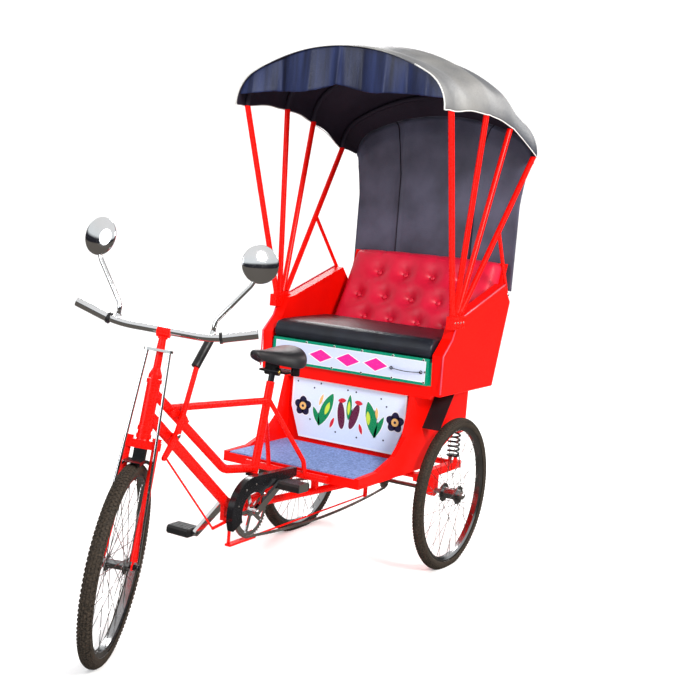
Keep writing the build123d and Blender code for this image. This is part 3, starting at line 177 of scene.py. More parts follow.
# The sweep's side view: metres towards the camera and metres up.
SWEEP = [(8, 0), (-5, 0), (-6.2, 0.25), (-7.1, 0.9), (-7.5, 2), (-7.5, 7)]
bm = bmesh.new()
nearer = Vector((-cos(YAW), -sin(YAW), 0))
rows = [[bm.verts.new(nearer * x + level_right * y + Vector((0, 0, z))) for y in (-SWEEP_HALF, SWEEP_HALF)]
        for x, z in SWEEP]
skin(bm, rows[::-1])
sweep = mesh_object("studio_sweep", bm, [floor_material])
smoothed(sweep, 3)
sweep.visible_glossy = False
sweep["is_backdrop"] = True
bm = bmesh.new()
bmesh.ops.create_grid(bm, x_segments=1, y_segments=1, size=GROUND_HALF,
                      matrix=Matrix.Translation((0, 0, GROUND_Z)))
ground = mesh_object("studio_ground", bm, [floor_material])
ground.visible_glossy = False
ground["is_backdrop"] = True
print("sweep faces", len(sweep.data.polygons))


# %% Lights and sky
AIM_AT = Vector((0, 0, 0.9))


def area_light(name, place, size, power, colour=(1, 1, 1)):
    """A round soft light aimed at the tricycle's middle."""
    lamp = bpy.data.lights.new(name, "AREA")
    lamp.shape = "DISK"
    lamp.size, lamp.energy, lamp.color = size, power, colour
    made = bpy.data.objects.new(name, lamp)
    aim = AIM_AT - Vector(place)
    made.matrix_world = Matrix.Translation(place) @ aim.to_track_quat("-Z", "Y").to_matrix().to_4x4()
    bpy.context.collection.objects.link(made)


area_light("key", (1.6, 4.6, 3.6), 1.8, 330, (1, 0.97, 0.93))
area_light("fill", (5.2, -1.6, 2.6), 3.0, 90, (0.93, 0.96, 1))
area_light("rim", (-3.6, -2.6, 3.8), 2.0, 100)
area_light("glance", (-4.8, 1.5, 3.7), 2.6, 130, (1, 0.98, 0.94))

world = bpy.data.worlds.new("sky")
world.use_nodes = True
sky = world.node_tree
where = shader_node(sky, "ShaderNodeTexCoord")
height = shader_node(sky, "ShaderNodeSeparateXYZ", {0: where.outputs["Generated"]})
ramp = shader_node(sky, "ShaderNodeValToRGB", {"Fac": height.outputs["Z"]})
lowest, highest = ramp.color_ramp.elements
lowest.position, lowest.color = 0.0, (0.15, 0.135, 0.12, 1)
highest.position, highest.color = 0.55, (1, 1, 1, 1)
for at, colour in ((0.02, (0.02, 0.02, 0.025, 1)), (0.15, (0.03, 0.03, 0.04, 1)), (0.22, (0.93, 0.98, 1, 1))):
    ramp.color_ramp.elements.new(at).color = colour
background = sky.nodes["Background"]
sky.links.new(ramp.outputs["Color"], background.inputs["Color"])
background.inputs["Strength"].default_value = 0.82
bpy.context.scene.world = world
bpy.context.scene.view_settings.view_transform = "Standard"
print("lights", len(bpy.data.lights))

# %% [markdown]
# ## One group of masks for wear and painted sheen
#
# Real surfaces are never even. This group gives three masks from the object's own coordinates: slow
# clouds, fine grain, and streaks that run down. Each material decides what the masks change: most
# use them for wear, and the hood's navy uses the streaks for a painted sheen.

# %% Masks for wear and sheen
weather = bpy.data.node_groups.new("weather", "ShaderNodeTree")
weather.interface.new_socket("Scale", in_out="INPUT", socket_type="NodeSocketFloat").default_value = 1.0
for output in ("Clouds", "Grain", "Streaks"):
    weather.interface.new_socket(output, in_out="OUTPUT", socket_type="NodeSocketFloat")
given = weather.nodes.new("NodeGroupInput")
result = weather.nodes.new("NodeGroupOutput")
place = shader_node(weather, "ShaderNodeTexCoord")
sized = shader_node(weather, "ShaderNodeVectorMath", {0: place.outputs["Object"]}, operation="SCALE")
weather.links.new(given.outputs["Scale"], sized.inputs["Scale"])
tall = shader_node(weather, "ShaderNodeMapping", {"Vector": sized.outputs["Vector"], "Scale": (9, 9, 0.8)})
NOISES = (("Clouds", sized, 6, 3), ("Grain", sized, 160, 4), ("Streaks", tall, 3, 4))
for output, vector, scale, detail in NOISES:
    cloud = shader_node(weather, "ShaderNodeTexNoise",
                        {"Vector": vector.outputs[0], "Scale": scale, "Detail": detail})
    spread = shader_node(weather, "ShaderNodeMapRange",
                         {"Value": cloud.outputs[0], "From Min": 0.32, "From Max": 0.68})
    weather.links.new(spread.outputs[0], result.inputs[output])
print("group outputs:", [s.name for s in weather.interface.items_tree])


# %% Materials
def surface(name, base, wear_and_sheen, rough=(0.3, 0.4), metal=0.0, shine=0.5, grain=0.0, scale=1.0, mask="Clouds"):
    """A Principled material: the mask mixes the base colour with a second one, wear on most and painted sheen
    on the hood's navy; the grain varies the roughness and can bump it.
    """
    material = bpy.data.materials.new(name)
    material.use_nodes = True
    tree = material.node_tree
    shader = tree.nodes["Principled BSDF"]
    masks = shader_node(tree, "ShaderNodeGroup", node_tree=weather)
    masks.inputs["Scale"].default_value = scale
    colour = shader_node(tree, "ShaderNodeMix", {"Factor": masks.outputs[mask]}, data_type="RGBA")
    colour.inputs["A"].default_value = (*base, 1)
    colour.inputs["B"].default_value = (*wear_and_sheen, 1)
    tree.links.new(colour.outputs["Result"], shader.inputs["Base Color"])
    polish = shader_node(tree, "ShaderNodeMapRange", {"Value": masks.outputs["Grain"]})
    polish.inputs["To Min"].default_value, polish.inputs["To Max"].default_value = rough
    tree.links.new(polish.outputs[0], shader.inputs["Roughness"])
    shader.inputs["Metallic"].default_value = metal
    shader.inputs["Specular IOR Level"].default_value = shine
    if grain:
        bump = shader_node(tree, "ShaderNodeBump", {"Height": masks.outputs["Grain"], "Distance": 0.001})
        bump.inputs["Strength"].default_value = grain
        tree.links.new(bump.outputs[0], shader.inputs["Normal"])
    return material


red = surface("red_enamel", (0.86, 0.004, 0.001), (0.76, 0.003, 0.001), (0.24, 0.32), shine=0.18)
tub_red = surface("tub_enamel", (0.86, 0.004, 0.001), (0.80, 0.003, 0.001), (0.32, 0.42), shine=0.08)
chrome = surface("chrome_plate", (0.90, 0.91, 0.93), (0.80, 0.80, 0.80), (0.04, 0.12), metal=1.0)
wheel_steel = surface("wheel_steel", (0.40, 0.40, 0.41), (0.28, 0.275, 0.27), (0.14, 0.26), metal=1.0)
dull_steel = surface("dull_steel", (0.34, 0.33, 0.31), (0.12, 0.10, 0.09), (0.32, 0.5), metal=0.9, grain=0.1)
black_gloss = surface("black_enamel", (0.006, 0.006, 0.007), (0.010, 0.010, 0.012), (0.14, 0.28), shine=0.3)
black_dull = surface("black_sheet", (0.008, 0.008, 0.010), (0.02, 0.02, 0.022), (0.5, 0.6), shine=0.2,
                     grain=0.08)
rubber = surface("moulded_rubber", (0.008, 0.008, 0.009), (0.020, 0.020, 0.020), (0.28, 0.45), shine=0.35,
                 grain=0.1)
tyre_black = surface("tyre_rubber", (0.012, 0.010, 0.008), (0.055, 0.040, 0.028), (0.62, 0.8), shine=0.2,
                     grain=0.25, mask="Grain")
brass = surface("yellow_zinc", (0.75, 0.50, 0.10), (0.60, 0.40, 0.08), (0.25, 0.4), metal=1.0)
lining = surface("hood_lining", (0.014, 0.011, 0.020), (0.018, 0.014, 0.024), (0.6, 0.7), shine=0.15,
                 grain=0.2)
print("materials", len(bpy.data.materials))

# %% [markdown]
# ## Materials for the CAD pieces
#
# A CAD piece keeps its shape and only gets a material: red enamel on frame and tub, bright metal on what
# is plated, black on the rest. Two kinds of piece carry a second one: a pedal has bright plates on both
# sides of its rubber, and a grip is bright beyond its inner end. Their faces are chosen by the way they
# point or by where they lie, which saves a second mesh.


# %% Dress the CAD pieces
def dress(name, material):
    """Gives a CAD piece one material."""
    slots = cad[name].data.materials
    slots.clear()
    slots.append(material)


dressed = {
    red: "fork_legs fork_crown stem head_tube upper_tube down_tube top_tube seat_tube main_beams seat_stays "
         "side_members rear_cross_tubes hood_brackets hood_legs hood_braces brake_lever brake_linkage",
    tub_red: "tub_floor box_walls box_front foot_pan back_board tub_side_left tub_side_right",
    wheel_steel: "front_wheel rear_wheel_left rear_wheel_right",
    chrome: "handlebar mirrors stay_rods stay_bracket chainring crank_left crank_right",
    black_gloss: "front_axle brake_stirrup chain_case saddle_post springs",
    dull_steel: "axle_shaft chain",
    rubber: "grips pedal_left pedal_right lever_grip",
    black_dull: "splash_boards seat_board",
    lining: "hood_arches",
}
for material, names in dressed.items():
    for name in names.split():
        dress(name, material)
PLATE_AREA, GRIP_INNER_END = 0.0005, 0.016
for name in ("pedal_left", "pedal_right"):
    mesh = cad[name].data
    mesh.materials.append(chrome)
    for face in mesh.polygons:
        face.material_index = int(abs(face.normal.y) > 0.9 and face.area > PLATE_AREA)
mesh = cad["grips"].data
mesh.materials.append(chrome)
reach = [(face.center - STEER_AT).cross(STEER_UP).length for face in mesh.polygons]
inner_end = min(reach) + GRIP_INNER_END
for face, off in zip(mesh.polygons, reach):
    face.material_index = int(off > inner_end)
print("dressed", sum(len(names.split()) for names in dressed.values()))

# %% [markdown]
# ## The hood's cloth
#
# The cover is one long sheet over four bows. Along the way its arch changes from bow to bow; between
# the bows the cloth sags and its hem is scalloped. The same arch formula as the bows' gives every
# row of points: a small arc for each shoulder, joined by one wide arc. Cloth simulation could find the
# sag too, but a formula keeps the taut cover on its bows and the same on every run.

# %% Rows along the hood
# A bow or an edge: x ahead of the rear axle, half width, height of the sides, height of the crown.
BOWS = [(0.499, 0.468, 1.899, 2.130), (0.194, 0.474, 1.918, 2.172), (-0.036, 0.482, 1.888, 2.164),
        (-0.312, 0.485, 1.794, 2.040)]
FRONT_EDGE, REAR_EDGE = (0.572, 0.460, 1.897, 2.118), (-0.400, 0.440, 1.770, 1.950)
SHOULDER, BOW_R, CLOTH_T = 0.62, 0.012, 0.003
OVER_BOW = BOW_R + CLOTH_T
ACROSS, BAY_STEPS = 64, (5, 18, 14, 16, 6)


def arch_point(half, side, crown, share, grow):
    """The point at a share of the way over the arch, from the right foot to the left one."""
    rise = crown - side
    small = SHOULDER * rise
    wide = ((half - small) ** 2 + rise ** 2 - small ** 2) / (2 * (rise - small))
    bend = atan2(wide - rise, half - small)
    small_l, wide_l = bend * (small + grow), (pi - 2 * bend) * (wide + grow)
    along = share * (2 * small_l + wide_l)
    if along < small_l:
        angle = pi - along / (small + grow)
        return (small - half + (small + grow) * cos(angle), side + (small + grow) * sin(angle))
    if along > small_l + wide_l:
        angle = bend - (along - small_l - wide_l) / (small + grow)
        return (half - small + (small + grow) * cos(angle), side + (small + grow) * sin(angle))
    angle = pi - bend - (along - small_l) / (wide + grow)
    return ((wide + grow) * cos(angle), side + rise - wide + (wide + grow) * sin(angle))


def hood_stations(steps):
    """Rows along the hood: x, half width, side, crown, how free of bows (0 to 1), and the bay's length."""
    marks = [FRONT_EDGE] + BOWS + [REAR_EDGE]
    rows = []
    for (one, two), count in zip(zip(marks, marks[1:]), steps):
        for i in range(count):
            t = i / count
            between = [a + (b - a) * t for a, b in zip(one, two)]
            rows.append(between + [sin(pi * t) ** 2, abs(two[0] - one[0])])
    rows.append(list(REAR_EDGE) + [0.0, 0.0])
    return rows


stations = hood_stations(BAY_STEPS)
print("rows of cloth:", len(stations))

# %% Cover
SAG_SHARE, SAG_INWARD, HEM_LIFT, CREASE_DEEP = 0.075, 0.3, 0.03, 0.006
LAST_BOW_LIFT = 0.006


def sagging_point(station, share, clear):
    """y and z on one row of the cover; clear is its distance from the bows' middle line."""
    half, side, crown, bay, span = station[1:]
    sag = SAG_SHARE * span * bay
    y, z = arch_point(half - SAG_INWARD * sag, side, crown - sag, share, clear)
    return y, z + abs(2 * share - 1) ** 6 * HEM_LIFT * span * bay


bm = bmesh.new()
grid = []
for station in stations:
    x, bay = station[0], station[4]
    # The last bow bends the cloth sharply, and smoothing would pull it through the bow.
    clear = OVER_BOW + LAST_BOW_LIFT * (x == BOWS[-1][0])
    line = []
    for i in range(ACROSS + 1):
        y, z = sagging_point(station, i / ACROSS, clear)
        crease = noise.noise(Vector((x * 9, y * 7, z * 5))) * CREASE_DEEP * min(1, bay * 4)
        line.append(bm.verts.new((x + REAR_AXLE_X, y * (1 - abs(crease)), z + crease)))
    grid.append(line)
skin(bm, grid)
roof_faces = len(bm.faces)
print("cover faces", roof_faces)

# %% [markdown]
# The valance drops from the front edge to a hem that is level at both sides and lifts a little in
# the middle. Upright folds grow towards the hem, with one sharp crease near the middle.


# %% Valance
def fading(distance):
    """Falls from 1 towards 0 as the distance grows."""
    return 2.718 ** -distance


HEM_Z, MID_LIFT, MID_WIDE, HEM_WAVE, SET_BACK = 1.947, 0.035, 0.13, 0.006, 0.012
SHARES, SKIRT_STEPS = 400, 10
front_x, front_arch = FRONT_EDGE[0] + REAR_AXLE_X, FRONT_EDGE[1:]
low_share = next(i / SHARES for i in range(SHARES // 2)
                 if arch_point(*front_arch, i / SHARES, OVER_BOW)[1] > HEM_Z)
# A fold: its y, a third of its half width, and its depth, which is negative where it goes inwards.
FOLDS = [(-0.40, 0.030, 0.012), (-0.27, 0.024, -0.016), (-0.13, 0.030, 0.014), (0.0, 0.012, 0.018),
         (0.10, 0.030, -0.016), (0.21, 0.024, 0.014), (0.30, 0.020, -0.014), (0.39, 0.024, 0.012)]
skirt = []
for step in range(SKIRT_STEPS + 1):
    t = step / SKIRT_STEPS
    line = []
    for i in range(2 * ACROSS + 1):
        share = low_share + (1 - 2 * low_share) * i / (2 * ACROSS)
        y, top_z = arch_point(*front_arch, share, OVER_BOW)
        hem = HEM_Z + MID_LIFT * fading((y / MID_WIDE) ** 2) - HEM_WAVE * sin(abs(y) * 17)
        fold = sum(deep * max(0, 1 - abs(y - at) / (3 * wide)) ** 2 for at, wide, deep in FOLDS)
        z = top_z + (min(hem, top_z - 0.002) - top_z) * t
        line.append(bm.verts.new((front_x + fold * (0.35 + 0.65 * t) - SET_BACK, y, z)))
    skirt.append(line)
skin(bm, skirt)
bmesh.ops.recalc_face_normals(bm, faces=bm.faces)
bm.faces.ensure_lookup_table()
turned_in = [face for face in bm.faces[roof_faces:] if face.normal.x < 0]
bmesh.ops.reverse_faces(bm, faces=turned_in)
print("with the valance", len(bm.faces), "turned", len(turned_in))

# %% [markdown]
# The cover is painted grey in front, a painted sun glare on its dark navy cloth, and its rear keeps
# more of the navy that the valance has.
# Solidify gives the cloth its thickness and puts the dark lining on the inner side.

# %% Hood materials and layers
# Between these x the painted glare fades rearwards to a dark navy.
FADE_FROM, FADE_TO = -0.95, -0.50
# The lighter blue along the streaks is painted sheen on the cloth's folds.
navy = surface("hood_navy", (0.004, 0.006, 0.024), (0.017, 0.027, 0.092), (0.30, 0.42), shine=0.35,
               grain=0.2, mask="Streaks")
# Painted glare: this grey stands in for sun glare on the cover's near flank; the cloth itself is dark navy.
painted_glare = surface("hood_bleached", (0.115, 0.118, 0.125), (0.20, 0.195, 0.185), (0.45, 0.6), shine=0.3,
                   grain=0.2)
tree = painted_glare.node_tree
base_colour = tree.nodes["Principled BSDF"].inputs["Base Color"]
spot = object_xyz(tree)
fade = shader_node(tree, "ShaderNodeMapRange",
                   {"Value": spot.outputs["X"], "From Min": FADE_FROM, "From Max": FADE_TO})
sunlit = base_colour.links[0].from_socket
rearward = shader_node(tree, "ShaderNodeMix", {"Factor": fade.outputs[0], "B": sunlit}, data_type="RGBA")
rearward.inputs["A"].default_value = (0.020, 0.024, 0.040, 1)
tree.links.new(rearward.outputs["Result"], base_colour)
hood = mesh_object("hood_canvas", bm, [painted_glare, lining, navy])
for face in hood.data.polygons:
    face.material_index = 2 * (face.index >= roof_faces)
thicken(hood, CLOTH_T, -1).material_offset = 1
hood.data.materials.append(lining)
smoothed(hood, 1)
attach(hood, "chassis")
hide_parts("hood_cover")
print("hood", hood.name)

# %% [markdown]
# White piping finishes the two long hems and the front corners. One function lays a round rod along
# any row of points, and later it also makes wires, seams, mirror stalks and edge trim.


# %% Piping
def angles(count):
    """Even angles round a full turn."""
    return [2 * pi * k / count for k in range(count)]


def rod(bm, points, radius, sides=8):
    """Adds a round rod that follows the points."""
    points = [Vector(point) for point in points]
    rings = []
    for i, at in enumerate(points):
        way = (points[min(i + 1, len(points) - 1)] - points[max(i - 1, 0)]).normalized()
        if not rings:
            across = way.orthogonal().normalized()
        across = (across - way * across.dot(way)).normalized()
        other = way.cross(across)
        rings.append([bm.verts.new(at + across * radius * cos(a) + other * radius * sin(a))
                      for a in angles(sides)])
    skin(bm, rings, closed=True)
    bm.faces.new(rings[0][::-1])
    bm.faces.new(rings[-1])


white_vinyl = surface("white_piping", (0.72, 0.72, 0.70), (0.60, 0.60, 0.58), (0.4, 0.5), grain=0.1)
HEM_PIPING_R, CORNER_PIPING_R, PROUD = 0.0022, 0.0028, 0.001
bm = bmesh.new()
for share in (0, 1):
    hem_points = [(station[0] + REAR_AXLE_X, *sagging_point(station, share, OVER_BOW + PROUD))
                  for station in stations[:-BAY_STEPS[-1]]]
    rod(bm, hem_points, HEM_PIPING_R)
    # The corner's piping runs a fifth of the way over the front arch.
    corner = [arch_point(*front_arch, abs(share - k / 60), OVER_BOW + PROUD) for k in range(13)]
    rod(bm, [(front_x + PROUD, y, z) for y, z in corner], CORNER_PIPING_R)
piping = mesh_object("hood_piping", bm, [white_vinyl])
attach(piping, "chassis")
print("piping faces", len(piping.data.polygons))

# %% [markdown]
# ## The rear curtain
#
# Three panels hang from the last edge of the cover down behind the backrest. Loose folds grow towards
# the hem, and a thin dark rod lies along each of the two seams.

# %% Curtain
CURTAIN_X, CURTAIN_SET, CURTAIN_HALF, CURTAIN_LOW = -0.4005, 0.013, 0.413, 1.205
SEAMS, SEAM_RIDGE, SEAM_WIDE, SEAM_R = (-0.20, 0.20), 0.006, 0.012, 0.0024
COLUMNS, LEVELS = 72, 40
SEAM_COLUMNS = [round((s / CURTAIN_HALF + 1) / 2 * COLUMNS) for s in SEAMS]
bm = bmesh.new()
curtain_grid = []
for level in range(LEVELS + 1):
    t = level / LEVELS
    line = []
    for i in range(COLUMNS + 1):
        share = i / COLUMNS
        top_y, top_z = arch_point(*REAR_EDGE[1:], share, OVER_BOW)
        y = top_y + (min(1, t * 3) ** 0.5) * ((share * 2 - 1) * CURTAIN_HALF - top_y)
        z = top_z + (CURTAIN_LOW - 0.012 * sin(share * 7) - top_z) * t
        fold = 0.010 * t * sin(y * 13 + 1.2) + 0.008 * t * noise.noise(Vector((y * 3, z * 2, 0)))
        seam = sum(SEAM_RIDGE * max(0, 1 - abs(y - s) / SEAM_WIDE) for s in SEAMS)
        x = CURTAIN_X + CURTAIN_SET * min(1, t * 10) + fold * 0.6 + seam
        line.append(bm.verts.new((x + REAR_AXLE_X, y, z)))
    curtain_grid.append(line)
skin(bm, curtain_grid)
ahead_of_cloth = Vector((CLOTH_T, 0, 0))
seam_lines = [[row[i].co + ahead_of_cloth for row in curtain_grid] for i in SEAM_COLUMNS]
slate = surface("curtain_slate", (0.050, 0.050, 0.078), (0.090, 0.090, 0.140), (0.4, 0.55), shine=0.3,
                grain=0.3)
curtain = mesh_object("rear_curtain_cloth", bm, [slate])
thicken(curtain, CLOTH_T, 0)
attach(curtain, "chassis")
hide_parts("rear_curtain")
bm = bmesh.new()
for line in seam_lines:
    rod(bm, line, SEAM_R, 6)
seams = mesh_object("curtain_seams", bm, [lining])
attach(seams, "chassis")
print("curtain faces", len(curtain.data.polygons))

# %% [markdown]
# ## The bench cushion
#
# The real cushion is foam under leatherette, so its top is full and its edges are soft. A bevelled box
# would look hard. This one is a closed form a little smaller than its space, swollen by cloth
# simulation with pressure inside. Even cells let it swell evenly, and a cap on each point's way keeps
# it within its space.


# %% Helpers for soft forms
def bake_modifiers(source):
    """Replaces a piece's mesh by what its modifiers make of it."""
    graph = bpy.context.evaluated_depsgraph_get()
    mesh = bpy.data.meshes.new_from_object(source.evaluated_get(graph))
    source.modifiers.clear()
    source.data = mesh


def voxel_copy(source, voxel):
    """Remeshes a piece into even cells, so that cloth has something to move."""
    remesh = source.modifiers.new("even", "REMESH")
    remesh.mode, remesh.voxel_size, remesh.use_smooth_shade = "VOXEL", voxel, True
    bake_modifiers(source)


def swell(piece, pressure, cap, pins=None, frames=20):
    """Runs Cloth with pressure and no gravity, and keeps each point within cap of its start."""
    start = [v.co.copy() for v in piece.data.vertices]
    cloth = piece.modifiers.new("swell", "CLOTH")
    cloth.settings.use_pressure = True
    cloth.settings.uniform_pressure_force = pressure
    cloth.settings.effector_weights.gravity = 0
    cloth.settings.quality = 5
    if pins:
        group = piece.vertex_groups.new(name="pins")
        group.add(pins, 1.0, "REPLACE")
        cloth.settings.vertex_group_mass = "pins"
    for step in range(1, frames + 1):
        bpy.context.scene.frame_set(step)
    bake_modifiers(piece)
    bpy.context.scene.frame_set(1)
    for vertex, old in zip(piece.data.vertices, start):
        moved = vertex.co - old
        if moved.length > cap:
            vertex.co = old + moved.normalized() * cap


# %% Cushion
CELL, PRESSURE, CAP = 0.006, 4.0, 0.006
cushion_low, cushion_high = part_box("seat_cushion")
half = cushion_high[1] - CAP
rear, front = cushion_low[0] + 0.004, cushion_high[0]
low, top = cushion_low[2] + 0.001, cushion_high[2]
profile = [(rear, low), (front - 0.010, low), (front - 0.004, low + 0.012), (front - 0.004, top - 0.046),
           (front - 0.010, top - 0.028), (front - 0.024, top - 0.015), (front - 0.046, top - 0.009),
           (front - 0.2, top - 0.004), (rear + 0.02, top - 0.004), (rear, top - 0.016)]
bm = bmesh.new()
ring = [bm.verts.new((x, -half, z)) for x, z in profile]
face = bm.faces.new(ring)
pulled = bmesh.ops.extrude_face_region(bm, geom=[face])
far_end = [v for v in pulled["geom"] if isinstance(v, bmesh.types.BMVert)]
bmesh.ops.translate(bm, vec=(0, 2 * half, 0), verts=far_end)
bmesh.ops.recalc_face_normals(bm, faces=bm.faces)
leatherette = surface("bench_leatherette", (0.007, 0.008, 0.012), (0.012, 0.015, 0.024), (0.30, 0.42),
                      shine=0.3, grain=0.3, scale=2)
cushion = mesh_object("bench_cushion", bm, [leatherette])
voxel_copy(cushion, CELL)
swell(cushion, PRESSURE, CAP)
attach(cushion, "chassis")
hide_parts("seat_cushion")
print("cushion points", len(cushion.data.vertices))

# %% [markdown]
# ## The buttoned backrest
#
# The pad leans with the back board. Its face is a height field over a tilted plane: three staggered
# rows of buttons pull it in, and folds join neighbouring buttons into diamonds. Sculpting could make
# them too, but a formula spaces them evenly. The closed pad is then swollen like the cushion, with its
# back, its foot and the cloth round each button pinned.

# %% Buttons and folds
FOOT, HEAD = Vector((-0.118 + REAR_AXLE_X, 0, 0.966)), Vector((-0.322 + REAR_AXLE_X, 0, 1.326))
PAD_HALF, BULGE = 0.372, 0.016
PIT_DEEP, PIT_WIDE = 0.046, 0.032
FOLD_DEEP, EDGE_FOLD_DEEP, FOLD_WIDE = 0.016, 0.008, 0.012
BUTTON_R, BUTTON_BELOW = 0.0125, 0.027
lean = (HEAD - FOOT).normalized()
face_out = Vector((lean.z, 0, -lean.x))
height_l = (HEAD - FOOT).length
# A row of buttons: how far up the pad it lies, and the y of one of its buttons.
ROWS = [(0.070, 0.069), (0.180, 0.0), (0.302, 0.069)]
PITCH_Y, FREE_SIDE = 0.138, 0.045
buttons = [(start + k * PITCH_Y, up_l) for up_l, start in ROWS for k in range(-3, 3)
           if abs(start + k * PITCH_Y) < PAD_HALF - FREE_SIDE]
# A fold: its two ends and its depth. Folds run to the next row up, and from the top row to the edge.
folds = [(a, b, FOLD_DEEP) for a in buttons for b in buttons
         if 0 < b[1] - a[1] < 0.15 and abs(a[0] - b[0]) < 0.08]
folds += [((y, v), (y * 1.04, height_l + 0.02), EDGE_FOLD_DEEP) for y, v in buttons if v > 0.3]


def bulge(y):
    """How far the pad's face stands out at y, before buttons and folds."""
    return BULGE * (1 - (y / PAD_HALF) ** 4)


def on_pad(y, v, out):
    """The point at y, at v up the tilted plane and at out in front of it."""
    return FOOT + lean * v + Vector((0, y, 0)) + face_out * out


def fold_depth(y, v):
    """How deep the face lies at y, v: deepest at a button, less deep along the folds between."""
    depth = 0.0
    for by, bv in buttons:
        near = hypot(y - by, v - bv)
        depth = max(depth, PIT_DEEP * fading((near / PIT_WIDE) ** 1.1))
    for (ay, av), (by, bv), deep in folds:
        dy, dv = by - ay, bv - av
        t = ((y - ay) * dy + (v - av) * dv) / (dy * dy + dv * dv)
        if 0 <= t <= 1:
            off = hypot(y - ay - dy * t, v - av - dv * t)
            depth = max(depth, deep * (1 - 0.45 * sin(pi * t)) * fading(off / FOLD_WIDE))
    return depth


# %% Backrest
WIDE_STEPS, TALL_STEPS = 150, 84
SIDE_ROUND, SIDE_DROP, PAST_HEAD, FORWARD = 0.035, 0.034, 0.006, 0.004
TOP_ROUND, TOP_SPAN, TOP_DROP = 0.030, 0.036, 0.030
# The back board's two ends behind the pad, as x and z, and how far the pad's back stands before them.
LOW_X, LOW_Z, HIGH_X, HIGH_Z, BEFORE_BOARD = -0.204, 0.788, -0.321, 1.156, 0.0145


def back_x(z):
    """x of the pad's back at a height."""
    leaned = (HIGH_X - LOW_X) * (z - LOW_Z) / (HIGH_Z - LOW_Z)
    return (LOW_X + leaned + BEFORE_BOARD) + REAR_AXLE_X


bm = bmesh.new()
front_grid = []
for j in range(TALL_STEPS + 1):
    v = j / TALL_STEPS * (height_l + PAST_HEAD)
    line = []
    for i in range(WIDE_STEPS + 1):
        y = (i / WIDE_STEPS * 2 - 1) * PAD_HALF
        side_fall = max(0.0, (abs(y) - PAD_HALF + SIDE_ROUND) / SIDE_ROUND)
        top_fall = max(0.0, (v - height_l + TOP_ROUND) / TOP_SPAN)
        round_off = SIDE_DROP * side_fall ** 2.2 + TOP_DROP * top_fall ** 2.2
        line.append(bm.verts.new(on_pad(y, v, bulge(y) - fold_depth(y, v) - round_off + FORWARD)))
    front_grid.append(line)
skin(bm, front_grid)
rim = front_grid[0] + [line[-1] for line in front_grid[1:]]
rim += front_grid[-1][-2::-1] + [line[0] for line in front_grid[-2:0:-1]]
back = [bm.verts.new((back_x(v.co.z), v.co.y, v.co.z)) for v in rim]
skin(bm, [rim, back], closed=True)
bm.faces.new(back[::-1])
bmesh.ops.recalc_face_normals(bm, faces=bm.faces)
crimson = surface("back_crimson", (0.70, 0.014, 0.050), (0.62, 0.010, 0.038), (0.30, 0.42), shine=0.3,
                  grain=0.1, scale=2)
backrest = mesh_object("buttoned_back", bm, [crimson])
print("points round the pad's rim", len(rim))

# %% Pin and swell the backrest
PIN_BACK, PIN_FOOT, PIN_ROUND, PIT_FLOOR = 0.010, 0.008, 0.022, -0.040
sunk = [on_pad(y, v, bulge(y) + PIT_FLOOR) for y, v in buttons]


def pinned(at):
    """Whether a point of the pad stays where it is."""
    by_board = at.x < back_x(at.z) + PIN_BACK or at.z < FOOT.z + PIN_FOOT
    return by_board or min((at - s).length for s in sunk) < PIN_ROUND


voxel_copy(backrest, CELL)
swell(backrest, PRESSURE, CAP, [p.index for p in backrest.data.vertices if pinned(p.co)])
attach(backrest, "chassis")
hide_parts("backrest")
print("backrest faces", len(backrest.data.polygons), "buttons", len(buttons))

# %% Button heads
bm = bmesh.new()
tilt = face_out.to_track_quat("Z", "Y").to_matrix().to_4x4()
for y, v in buttons:
    at = Matrix.Translation(on_pad(y, v, bulge(y) - BUTTON_BELOW))
    bmesh.ops.create_uvsphere(bm, u_segments=16, v_segments=8, radius=BUTTON_R,
                              matrix=at @ tilt @ Matrix.Diagonal((1, 1, 0.6, 1)))
knobs = mesh_object("back_buttons", bm, [crimson])
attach(knobs, "chassis")
print("buttons made", len(buttons))

# %% [markdown]
# ## The rider's saddle
#
# Rows across the saddle run from the wide rear to the nose. Each is an arch, and one table gives where
# it lies, how wide it is and how far its sides hang down. The top dips a little in the middle. So nine
# rows say the whole shape, and a Subdivision Surface makes it smooth.

# %% Saddle
SADDLE = [(0.741, 0.045, 0.030), (0.752, 0.078, 0.052), (0.780, 0.098, 0.068), (0.820, 0.099, 0.070),
          (0.860, 0.078, 0.062), (0.900, 0.050, 0.054), (0.945, 0.033, 0.046), (0.985, 0.026, 0.036),
          (1.002, 0.016, 0.018)]
SADDLE_TOP, SADDLE_LONG, SADDLE_DIP, END_DROP, SADDLE_WALL = 0.974, 0.262, 0.010, 0.004, 0.012
ARCH_STEPS = 16
bm = bmesh.new()
saddle_rows = []
for i, (x, half, depth) in enumerate(SADDLE):
    dip = SADDLE_DIP * sin(pi * (x - SADDLE[0][0]) / SADDLE_LONG)
    line = []
    for k in range(ARCH_STEPS + 1):
        angle = pi * k / ARCH_STEPS
        y = half * cos(angle)
        z = SADDLE_TOP - dip - depth * (1 - sin(angle) ** 0.62) - END_DROP * (i in (0, len(SADDLE) - 1))
        line.append(bm.verts.new((x + REAR_AXLE_X, y, z)))
    saddle_rows.append(line)
skin(bm, saddle_rows)
bm.faces.new(saddle_rows[0])
bm.faces.new(saddle_rows[-1][::-1])
bmesh.ops.recalc_face_normals(bm, faces=bm.faces)
saddle_skin = surface("saddle_vinyl", (0.010, 0.010, 0.012), (0.020, 0.020, 0.022), (0.30, 0.42),
                      shine=0.35, grain=0.3, scale=3)
saddle = mesh_object("rider_saddle", bm, [saddle_skin])
thicken(saddle, SADDLE_WALL, -1)
smoothed(saddle, 2)
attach(saddle, "chassis")
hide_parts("saddle")
print("saddle rows", len(saddle_rows))

